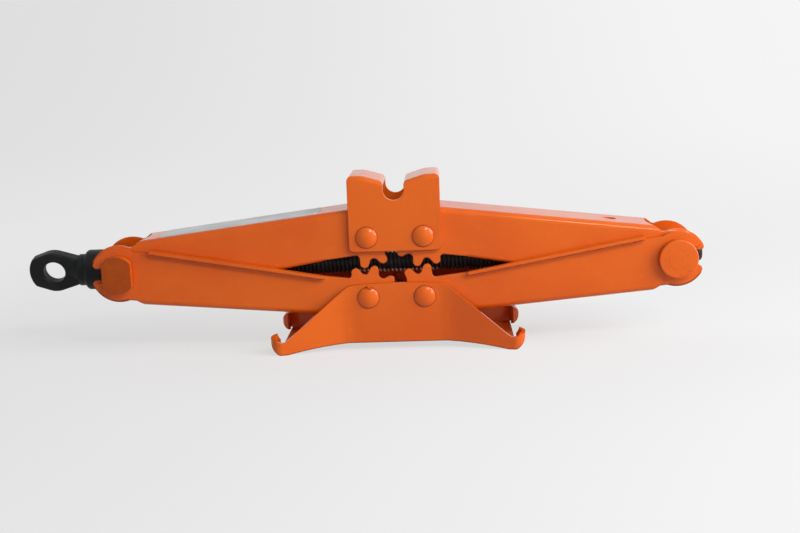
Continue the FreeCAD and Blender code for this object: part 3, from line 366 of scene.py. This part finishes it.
def oil_stain(finish, place):
    """Brown oil on the ends of the left trunnion."""
    centre = finish.ramp(from_axis(finish, place, left_trunnion), CENTRE_RIM, CENTRE_CORE)
    oil = finish.patches(place, scale=160, detail=3, low=0.3, high=0.6, bottom=0.78, top=0.92)
    mask = end_face(finish, place, "thrust_trunnion") * oil + centre * CENTRE_SHARE
    return mask, STAIN, STAIN_DEEP


def turned_circle(finish, place):
    """A broken circle and chips on the ends of the nut."""
    distance = from_axis(finish, place, right_trunnion)
    thin_paint = finish.patches(place, scale=170, low=0.4, high=0.6)
    circle = ring(finish, distance, CIRCLE_RADIUS, CIRCLE_EASE, CIRCLE_EASE) * thin_paint
    chips = finish.patches(place, scale=520, detail=1, low=0.70, high=0.74)
    mask = end_face(finish, place, "nut_trunnion") * (circle * CIRCLE_SHARE + chips * CHIP_SHARE)
    return mask, WORN, WORN_DEEP


stained_enamel = enamel("orange_enamel_stained", oil_stain)
ringed_enamel = enamel("orange_enamel_ringed", turned_circle)
print("made", stained_enamel.name, "and", ringed_enamel.name)

# %% [markdown]
# ## The bends of the base
# The wings of the base are folded outward in a press with a rounded tool, so the light fades over each
# bend instead of breaking at a line. The mesh stays as it came from the CAD, so a bump does the same for
# the shading: its height is largest at the bend and falls off as a square on both sides, so its slope
# shrinks evenly, and inside the tray its sign is turned.

# %% Soften the bends
WING_START = 32 * MM
BEND_REACH = 5.5 * MM
BEND_CORE = 1.0 * MM
BEND_HEIGHT = 0.5 * MM
SIDE_EASE = 2 * MM


def soft_bend(finish, place):
    """A height that swells along the bends, and its size."""
    off = finish.unsigned(finish.part_of(place, "X")) - WING_START
    away = finish.node("ShaderNodeMath", {"operation": "SQRT"}, {0: off * off + BEND_CORE ** 2})
    near = finish.node("ShaderNodeClamp", sockets={0: 1.0 - away * (1 / BEND_REACH)})
    side = finish.part_of(place, "Y") * finish.part_of(finish.facing(), "Y")
    sign = finish.ramp(side, -SIDE_EASE, SIDE_EASE, bottom=-1.0)
    return near * near * sign, BEND_HEIGHT


pressed_enamel = enamel("orange_enamel_pressed", relief=soft_bend)
print("made", pressed_enamel.name)

# %% [markdown]
# ## Black steel
# Eye, cap, screw and stop pin are blackened and oiled, not painted: a deep satin black, a shade lighter
# where it is rubbed, with a faintly pitted skin from the forge. Two noises, one fine and one cloudy, are
# enough for that, and they also make the gloss uneven as oil does. The screw has wear and painted glints of
# its own, so the function takes those as a function too.

# %% Make the black steel
PITTED = tint(42, 42, 43)
PIT_DEPTH, PIT_STRENGTH = 0.08 * MM, 0.5
STEEL_ROUND = 0.3 * MM


def black_steel(name, least_rough, deep, rubbed, wear_and_glints=None):
    """Blackened steel; the last argument gives a worn colour, with painted glints, for the fresh one, and how much
    of it is bare metal.
    """
    finish = Finish(name)
    place = finish.place()
    cloud = finish.patches(place, scale=90, detail=4, low=0.40, high=0.66)
    grain = finish.noise(place, scale=900, detail=3, rough=0.6)
    colour = finish.blend(cloud, deep, rubbed)
    colour = finish.blend(finish.ramp(grain, 0.6, 0.75) * 0.3, colour, PITTED)
    rough = least_rough + cloud * 0.1 + finish.ramp(grain, 0.4, 0.7) * 0.08
    metal = 0.0
    if wear_and_glints is not None:
        colour, metal = wear_and_glints(finish, place, colour)
    normal = finish.bump(grain, PIT_DEPTH, PIT_STRENGTH, finish.soft_edge(STEEL_ROUND))
    return finish.surface(
        Base_Color=colour, Roughness=rough, Metallic=metal, Normal=normal, Specular_IOR_Level=0.16,
    )


forged_black = black_steel(
    "forged_black", least_rough=0.40, deep=tint(17, 18, 19), rubbed=tint(26, 27, 28),
)
print("made", forged_black.name)

# %% [markdown]
# ## The worn screw and its painted glints
# The nut has rubbed the crests of the thread, so everything beyond a certain distance from the screw line
# turns to bare metal in patches. In the middle, where the teeth close in on the screw, white glints are
# painted on its underside as a painted highlight. Painting such marks by hand would need a picture;
# masks made from distances need none, and they turn with the screw.

# %% Wear the screw and paint in its glints
CREST_FROM, CREST_FULL = 0.12 * MM, 0.03 * MM
RIDGE_FROM, RIDGE_FULL = 0.6 * MM, 0.3 * MM
# Where the painted glints lie: the middle of the screw and its underside.
PAINTED_GLINTS_END, PAINTED_GLINTS_FULL = 28 * MM, 24 * MM
UNDERSIDE_FROM, UNDERSIDE_FULL = 4.0 * MM, 4.8 * MM
# The second of these two colours is a painted highlight: white glints on the screw.
BARE_METAL, PAINTED_GLINT = tint(150, 148, 144), tint(246, 245, 242)
screw_low, screw_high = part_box("lead_screw")
crest_radius = (screw_high.z - screw_low.z) / 2


def from_screw(finish, place):
    """How far a point is from the screw line."""
    return finish.length((place - tuple(screw_line)) * (0.0, 1.0, 1.0))


def thread_wear_and_glints(finish, place, fresh):
    """Bare metal on the crests and painted white glints on the underside."""
    distance = from_screw(finish, place)
    crest = finish.ramp(distance, crest_radius - CREST_FROM, crest_radius - CREST_FULL)
    metal = crest * finish.patches(place, scale=260, low=0.4, high=0.65, bottom=0.02, top=0.16)
    colour = finish.blend(metal, fresh, BARE_METAL)
    ridge = finish.ramp(distance, crest_radius - RIDGE_FROM, crest_radius - RIDGE_FULL)
    middle = finish.ramp(finish.unsigned(finish.part_of(place, "X")), PAINTED_GLINTS_END, PAINTED_GLINTS_FULL)
    below = screw_line.z - finish.part_of(place, "Z")
    # Painted highlight: white glints on the lower crests in the middle.
    painted_glints = ridge * middle * finish.ramp(below, UNDERSIDE_FROM, UNDERSIDE_FULL)
    return finish.blend(painted_glints, colour, PAINTED_GLINT), metal


oiled_black = black_steel(
    "oiled_black", least_rough=0.30, deep=tint(44, 42, 41), rubbed=tint(56, 54, 52), wear_and_glints=thread_wear_and_glints,
)
print(f"made {oiled_black.name}, worn at a radius of {crest_radius / MM:.1f} mm")

# %% [markdown]
# ## Bearing steel
# Washers, races, balls and cage are bright steel under the cap. Turned rings carry fine grooves round
# their axis, so the bump follows the distance from the screw line: a noise that only sees that distance
# is the same all the way round.

# %% Make the bearing steel
GROOVES_PER_METRE = 6000
GROOVE_DEPTH, GROOVE_STRENGTH = 0.02 * MM, 0.4
STEEL, STEEL_OILY = tint(172, 172, 174), tint(138, 136, 132)


def bearing_steel(name):
    finish = Finish(name)
    place = finish.place()
    grooves = from_screw(finish, place) * GROOVES_PER_METRE
    turning = finish.noise(finish.node("ShaderNodeCombineXYZ", sockets={"X": grooves}), scale=1.0)
    film = finish.patches(place, scale=150, detail=3, low=0.4, high=0.7)
    colour = finish.blend(film, STEEL, STEEL_OILY)
    normal = finish.bump(turning, GROOVE_DEPTH, GROOVE_STRENGTH)
    return finish.surface(Base_Color=colour, Metallic=1.0, Roughness=0.24 + film * 0.14, Normal=normal)


bright_steel = bearing_steel("bright_steel")
print("made", bright_steel.name)

# %% [markdown]
# ## Dressing the CAD pieces
# Many CAD edges are perfectly sharp, and no pressed and painted edge is: paint rounds it, and that small
# round is what catches the light along every edge in the picture. The finishes above ease the edges in
# the shading, so the meshes stay as they came. All that is left to do is to hand each piece the finish of
# its slot, or its own one if it has any.

# %% Hand out the finishes
FINISH_OF_SLOT = {"orange_paint": orange_enamel, "black_steel": forged_black, "bearing_steel": bright_steel}
OWN_FINISH = {
    "thrust_trunnion": stained_enamel, "nut_trunnion": ringed_enamel, "base_bracket": pressed_enamel,
}
slot_of = {row["node"]: row["material_slot"] for row in frame["record"]["subparts"]}
for name, piece in nodes.items():
    piece.data.materials.clear()
    piece.data.materials.append(OWN_FINISH.get(name, FINISH_OF_SLOT[slot_of[name]]))
print("dressed", len(nodes), "CAD pieces")

# %% [markdown]
# ## Turned shapes
# The core of the screw, the nib of paint and the paper are all turned: one outline goes round an axis.
# Blender has a Spin tool for that, but each axis lies differently, so here every shape brings a small
# function that says where a point is, by its place along the axis, its radius and its angle. The rings
# between such points are then the same for all three.

# %% Define turned shapes
ROUND_STEPS = 48
SHARP_ANGLE = math.radians(35)


def turned(mesh, outline, spot):
    """Turns an outline of (place along the axis, radius) round an axis; ends at radius 0 close it."""
    rings = []
    for along, radius in outline:
        angles = [2 * math.pi * step / ROUND_STEPS for step in range(ROUND_STEPS if radius else 1)]
        rings.append([mesh.verts.new(spot(along, radius, angle)) for angle in angles])
    for near, far in zip(rings, rings[1:]):
        for step in range(ROUND_STEPS):
            after = (step + 1) % ROUND_STEPS
            if len(near) == 1:
                mesh.faces.new((near[0], far[step], far[after]))
            elif len(far) == 1:
                mesh.faces.new((near[step], far[0], near[after]))
            else:
                mesh.faces.new((near[step], far[step], far[after], near[after]))


def new_piece(name, mesh, material):
    """Turns a bmesh into an object of the scene, with its sharp edges kept sharp."""
    bmesh.ops.recalc_face_normals(mesh, faces=mesh.faces)
    for edge in mesh.edges:
        edge.smooth = edge.calc_face_angle(0) < SHARP_ANGLE
    for face in mesh.faces:
        face.smooth = True
    data = bpy.data.meshes.new(name)
    mesh.to_mesh(data)
    mesh.free()
    data.materials.append(material)
    piece = bpy.data.objects.new(name, data)
    bpy.context.scene.collection.objects.link(piece)
    return piece


print("turned shapes have", ROUND_STEPS, "sides")

# %% [markdown]
# ## The ridge of the thread
# The thread is a trapezoid ridge that winds round the core. It is built directly as rings of four points
# along a helix, because a Screw modifier would leave its two ends open. The ridge rises from the core
# over its first turn and sinks back over its last, and its foot is sunk a little into the core, so that
# no slit shows.

# %% Define the ridge
PITCH = 2.65 * MM
RIDGE_FOOT, RIDGE_CREST = 0.98 * MM, 0.42 * MM
SUNK = 0.1 * MM
STEPS_PER_TURN = 28
LOWEST_RISE = 0.02


def on_screw(along, radius, angle):
    """A point by its place along the screw, its distance from the screw line and its angle round it."""
    return Vector((along, screw_line.y + radius * math.cos(angle), screw_line.z + radius * math.sin(angle)))


def helix_ridge(mesh, start, stop, root, crest):
    """Winds a trapezoid ridge from start to stop, fading in and out over one turn."""
    count = int((stop - start) / PITCH * STEPS_PER_TURN)
    rings = []
    for step in range(count + 1):
        turns = step / STEPS_PER_TURN
        left = (count - step) / STEPS_PER_TURN
        rise = max(LOWEST_RISE, min(1.0, turns, left))
        top = root + (crest - root) * rise
        along, angle = start + turns * PITCH, 2 * math.pi * turns
        section = (
            (-RIDGE_FOOT, root - SUNK), (-RIDGE_CREST, top), (RIDGE_CREST, top), (RIDGE_FOOT, root - SUNK),
        )
        rings.append([mesh.verts.new(on_screw(along + shift, radius, angle)) for shift, radius in section])
    for near, far in zip(rings, rings[1:]):
        for corner in range(len(near)):
            after = (corner + 1) % len(near)
            mesh.faces.new((near[corner], near[after], far[after], far[corner]))
    mesh.faces.new(reversed(rings[0]))
    mesh.faces.new(rings[-1])


print(f"the ridge climbs {PITCH / MM:.2f} mm in a turn")

# %% [markdown]
# ## The threaded screw
# In the CAD model the screw is a smooth bar as thick as the thread's crests. Here it gets its real form:
# a thinner core with a plain journal and a collar for the bearing, turned from one outline, and the ridge
# wound round it. It stands in for the CAD bar and turns with the screw's body.

# %% Build the threaded screw
THREAD_DEPTH = 1.35 * MM
JOURNAL_STEP = 1.0 * MM
SHOULDER_PLACE = 10.2 * MM
COLLAR, COLLAR_FOOT = 2.0 * MM, 2.6 * MM
END_CHAMFER = 0.7 * MM
RIDGE_STOP = 1.2 * MM
root_radius = crest_radius - THREAD_DEPTH
journal_radius = crest_radius - JOURNAL_STEP
shoulder = screw_line.x + SHOULDER_PLACE
end = screw_high.x
screw_mesh = bmesh.new()
turned(screw_mesh, [
    (screw_low.x, 0), (screw_low.x, journal_radius), (shoulder, journal_radius), (shoulder, crest_radius),
    (shoulder + COLLAR, crest_radius), (shoulder + COLLAR_FOOT, root_radius),
    (end - END_CHAMFER, root_radius), (end, root_radius - END_CHAMFER), (end, 0),
], on_screw)
helix_ridge(screw_mesh, shoulder + COLLAR, end - RIDGE_STOP, root_radius, crest_radius)
screw_thread = new_piece("screw_thread", screw_mesh, oiled_black)
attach(screw_thread, "screw")
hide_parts("lead_screw")
print(f"thread of {len(screw_thread.data.polygons)} faces, {(end - shoulder) / PITCH:.0f} turns")

# %% [markdown]
# ## Silver film
# A plain silver-grey film covers most of the left upper arm's web. Such film is part metal, part lacquer,
# so it is only a quarter metallic here. A cloudy noise makes its shine uneven, a fine one gives the grain
# of the metal in it, and a weak bump keeps it from lying as flat as glass.

# %% Make the silver film
FILM_WAVE, FILM_WAVE_STRENGTH = 0.15 * MM, 0.25
FILM_LIGHT, FILM_DULL, FILM_GRAIN = tint(186, 187, 190), tint(172, 172, 175), tint(206, 207, 210)


def film_finish(name):
    finish = Finish(name)
    place = finish.place()
    cloud = finish.patches(place, scale=60, detail=3, low=0.35, high=0.7)
    grain = finish.patches(place, scale=1500, low=0.55, high=0.75)
    colour = finish.blend(cloud, FILM_LIGHT, FILM_DULL)
    colour = finish.blend(grain * 0.3, colour, FILM_GRAIN)
    normal = finish.bump(finish.noise(place, scale=180), FILM_WAVE, FILM_WAVE_STRENGTH)
    return finish.surface(Base_Color=colour, Roughness=0.34 + cloud * 0.1, Metallic=0.25, Normal=normal)


silver_film = film_finish("silver_film")
print("made", silver_film.name)

# %% [markdown]
# ## The label film
# The film is a thin sheet with round corners, a hair above the paint, and its rim is bevelled so that the
# light finds its edge. It lies on a slope, so it is drawn flat first and then turned and lifted onto the
# web by one matrix: its columns are the directions out along the arm, across the jack and up from the
# web.

# %% Lay the label film
LABEL_FILM = 0.16 * MM
LABEL_CORNER, CORNER_STEPS = 3.0 * MM, 6
LABEL_FROM, LABEL_TO = 29 * MM, 134.5 * MM
LABEL_HALF_WIDTH = 16.8 * MM
WEB_HEIGHT = 18.9 * MM


def rounded_plate(mesh, half_x, half_y, corner, thick):
    """A thin plate with round corners, its underside at zero height."""
    outline = []
    for sign_x, sign_y, first in ((1, 1, 0), (-1, 1, 90), (-1, -1, 180), (1, -1, 270)):
        for step in range(CORNER_STEPS + 1):
            angle = math.radians(first + step * 90 / CORNER_STEPS)
            outline.append((
                sign_x * (half_x - corner) + corner * math.cos(angle),
                sign_y * (half_y - corner) + corner * math.sin(angle),
            ))
    bottom = mesh.faces.new([mesh.verts.new((x, y, 0)) for x, y in outline])
    raised = bmesh.ops.extrude_face_region(mesh, geom=[bottom])
    top = [item for item in raised["geom"] if isinstance(item, bmesh.types.BMVert)]
    bmesh.ops.translate(mesh, verts=top, vec=(0, 0, thick))
    rim = [edge for edge in mesh.edges if all(vert in top for vert in edge.verts)]
    bmesh.ops.bevel(mesh, geom=rim, offset=thick / 2, segments=2, affect="EDGES", profile=0.5)


label_middle = (LABEL_FROM + LABEL_TO) / 2
label_mesh = bmesh.new()
rounded_plate(label_mesh, (LABEL_TO - LABEL_FROM) / 2, LABEL_HALF_WIDTH, LABEL_CORNER, LABEL_FILM)
outward = arm_run.normalized()
upward = Vector((0, 1, 0)).cross(outward)
on_web = Matrix((outward, Vector((0, -1, 0)), upward)).transposed().to_4x4()
on_web.translation = head_pivot + outward * label_middle + upward * WEB_HEIGHT
label_mesh.transform(on_web)
label_blank = new_piece("label_blank", label_mesh, silver_film)
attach(label_blank, "upper_left")
print("label lies at", tuple(round(value / MM, 1) for value in on_web.translation))

# %% [markdown]
# ## A nib of paint
# Where the paint ran together on the left base rivet it dried to a small nib on the rim. It is a little
# drop: rings of points whose size swells and closes along its length, turned like a bead on a slope that
# leans against the rivet.

# %% Add the paint nib
NIB_ASIDE, NIB_DEPTH, NIB_LIFT = 0.1 * MM, 1.7 * MM, 0.35 * MM
NIB_LEAN = (0.8, -0.2, -0.5)
rivet_low, rivet_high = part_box("base_pin_left")
rivet_middle = (rivet_low + rivet_high) / 2
rivet_radius = (rivet_high.z - rivet_low.z) / 2
nib_spot = Vector((
    rivet_middle.x + NIB_ASIDE, rivet_low.y + NIB_DEPTH, rivet_middle.z + rivet_radius + NIB_LIFT,
))
nib_run = Vector(NIB_LEAN).normalized()
nib_side = nib_run.cross(Vector((0, 1, 0))).normalized()
nib_up = nib_side.cross(nib_run)


def on_nib(along, radius, angle):
    aside, up = radius * math.cos(angle), radius * math.sin(angle)
    return nib_spot + nib_run * along + nib_side * aside + nib_up * up


nib_mesh = bmesh.new()
turned(nib_mesh, [
    (-1.2 * MM, 0), (-1.05 * MM, 0.42 * MM), (-0.6 * MM, 0.76 * MM), (0, 0.86 * MM),
    (1.0 * MM, 0.68 * MM), (2.3 * MM, 0.4 * MM), (3.4 * MM, 0),
], on_nib)
paint_nib = new_piece("paint_nib", nib_mesh, orange_enamel)
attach(paint_nib, "base")
print("nib at", tuple(round(value / MM, 1) for value in nib_spot))

# %% [markdown]
# ## White paper
# The jack stands on white paper. Lit by the lamps alone it would be grey under a heavy shadow, and more
# light would spoil the paint. So the paper is mixed: to the camera and in reflections it is part lit
# paper, part an even glow that is a little darker to the left, and a Light Path node tells those rays
# from the rays that carry light, for which it stays plain paper. That keeps the background pale and the
# shadow faint.

# %% Make the white paper
WHITE = (1.0, 1.0, 1.0, 1.0)
PAPER, PAPER_FIBRE = tint(190, 190, 190), tint(194, 194, 194)
FAR_GLOW = {"dim": 0.74, "bright": 0.92, "reach": 1.2}
NEAR_GLOW = {"dim": 0.925, "bright": 1.04, "reach": 0.3}
NEAR_END, FAR_START = 0.25, 0.9
GLOW_SHARE = 0.64


def seen(tree):
    """1 for rays of the camera, of reflections and through glass; 0 for the rays that carry light."""
    kinds = ("Is Camera Ray", "Is Glossy Ray", "Is Transmission Ray")
    camera_ray, glossy_ray, clear_ray = (tree.node("ShaderNodeLightPath", output=kind) for kind in kinds)
    return tree.node("ShaderNodeClamp", sockets={0: camera_ray + glossy_ray + clear_ray})


def mixed(tree, share, first, second):
    """Two shaders in one, with a share of the second."""
    return tree.node("ShaderNodeMixShader", sockets={0: share, 1: first, 2: second})


def white_light(tree, kind, level):
    return tree.node(kind, sockets={"Color": WHITE, "Strength": level})


def glow(finish, place, dim, bright, reach):
    """An even glow that grows from the left to the right."""
    left, right = (white_light(finish, "ShaderNodeEmission", level) for level in (dim, bright))
    return mixed(finish, finish.ramp(finish.part_of(place, "X"), -reach, reach), left, right)


def paper_finish(name):
    finish = Finish(name)
    place = finish.place()
    fibre = finish.patches(place, scale=900, detail=3, low=0.3, high=0.7)
    colour = finish.blend(fibre, PAPER, PAPER_FIBRE)
    finish.surface(Base_Color=colour, Roughness=0.9, Specular_IOR_Level=0.1)
    sheet = Wire(finish, finish.shader.outputs[0])
    away = finish.ramp(finish.length(place), NEAR_END, FAR_START)
    glowing = mixed(finish, away, glow(finish, place, **NEAR_GLOW), glow(finish, place, **FAR_GLOW))
    share = seen(finish) * (GLOW_SHARE + away * (1 - GLOW_SHARE))
    finish.feed(finish.tree.nodes["Material Output"].inputs["Surface"], mixed(finish, share, sheet, glowing))
    return finish.material


white_paper = paper_finish("white_paper")
print("made", white_paper.name)

# %% [markdown]
# ## The sheet of paper
# A flat plane would end in a line behind the jack. The paper is a wide round sheet instead that curves up
# at its rim, so that no horizon shows from any side. It is one more turned shape, flat in the middle and
# then an arc. It belongs to the stage, not to the jack.

# %% Lay the paper
PAPER_MIDDLE, PAPER_FLAT, PAPER_BEND = 0.5, 1.8, 1.4
RIM_STEP, RIM_STEPS = 7, 10


def on_floor(height, radius, angle):
    return Vector((radius * math.cos(angle), radius * math.sin(angle), height))


paper_mesh = bmesh.new()
rim_angles = [math.radians(RIM_STEP * step) for step in range(1, RIM_STEPS + 1)]
turned(paper_mesh, [(0, 0), (0, PAPER_MIDDLE), (0, PAPER_FLAT)] + [
    (PAPER_BEND * (1 - math.cos(angle)), PAPER_FLAT + PAPER_BEND * math.sin(angle)) for angle in rim_angles
], on_floor)
paper = new_piece("paper", paper_mesh, white_paper)
print(f"paper {paper.dimensions.x:.1f} m across")

# %% [markdown]
# ## The room
# Beyond the paper lies the world, which lights everything evenly. Too much of that takes away the
# shadows, so it is weak for the rays that carry light, and almost as pale as the paper where it is seen
# or mirrored: the paint then reflects a bright room without being washed out by it.

# %% Light the room
ROOM_LIGHT, ROOM_SEEN = 0.145, 0.84
world = bpy.data.worlds.new("studio")
bpy.context.scene.world = world
world.use_nodes = True
room = Nodes(world.node_tree)
fill, backdrop = (white_light(room, "ShaderNodeBackground", level) for level in (ROOM_LIGHT, ROOM_SEEN))
room.feed(room.tree.nodes["World Output"].inputs["Surface"], mixed(room, seen(room), fill, backdrop))
print("the room gives", ROOM_LIGHT, "and shows", ROOM_SEEN)

# %% [markdown]
# ## The lights
# A large window of light to the right models the faces and throws a soft shadow to the left. A small
# strip draws the bright lines along the folds, and two weak fills, one low in front and one behind, keep
# the far sides from going black. Area lights suit all four: the wider they are, the softer their shadows.
# The fills don't show in the shine of the paint, where they would look like more windows.

# %% Hang the lights
JACK_MIDDLE = (0, 0, 0.05)
HEAD_RIGHT = (0.1, 0, 0.07)


def window(name, spot, aim, width, height, power, mirrored=True):
    """A soft rectangle of light, in metres and watts."""
    data = bpy.data.lights.new(name, "AREA")
    data.shape = "RECTANGLE"
    data.size, data.size_y = width, height
    data.energy = power
    lamp = bpy.data.objects.new(name, data)
    lamp.location = spot
    lamp.visible_camera = False
    lamp.visible_glossy = mirrored
    lamp.rotation_euler = (Vector(aim) - Vector(spot)).to_track_quat("-Z", "Y").to_euler()
    bpy.context.scene.collection.objects.link(lamp)
    print(f"{name}: {power} W from {(Vector(aim) - Vector(spot)).length:.2f} m")


window("right_window", (1.0, -0.42, 0.56), JACK_MIDDLE, width=0.95, height=0.8, power=19.0)
window("front_strip", (0.45, -0.92, 0.86), HEAD_RIGHT, width=0.34, height=0.13, power=4.2)
window("front_fill", (-0.1, -1.7, 0.19), JACK_MIDDLE, width=1.4, height=0.3, power=3.3, mirrored=False)
window("back_fill", (-1.1, 0.85, 0.5), JACK_MIDDLE, width=1.0, height=0.8, power=13, mirrored=False)

# %% [markdown]
# ## The camera
# The photo was taken from a little above the jack, almost square to it, with a lens of about 55 mm. The
# place and tilt below were found by lining up pivots, corners and ends of the solids with the photo. The
# camera was rolled by two degrees, so the right end of the jack stands higher in the picture.

# %% Set up the camera
CAMERA_SPOT = Vector((28.33, -795.80, 188.06)) * MM
PITCH_DOWN, HEADING, ROLL = math.radians(9.922), math.radians(1.902), math.radians(-2.021)
FOCAL_PIXELS, PHOTO_WIDTH = 1231.9, 800
SENSOR_WIDTH = 36
NEAREST, FARTHEST = 0.01, 50
camera_data = bpy.data.cameras.new("camera")
camera_data.sensor_width = SENSOR_WIDTH
camera_data.lens = SENSOR_WIDTH * (FOCAL_PIXELS / PHOTO_WIDTH)
camera_data.clip_start, camera_data.clip_end = NEAREST, FARTHEST
camera = bpy.data.objects.new("camera", camera_data)
aim = Matrix.Rotation(HEADING, 4, "Z") @ Matrix.Rotation(math.pi / 2 - PITCH_DOWN, 4, "X")
camera.matrix_world = Matrix.Translation(CAMERA_SPOT) @ aim @ Matrix.Rotation(ROLL, 4, "Z")
bpy.context.scene.collection.objects.link(camera)
bpy.context.scene.camera = camera
bpy.context.scene.view_settings.view_transform = "Standard"
print(f"lens {camera_data.lens:.1f} mm")
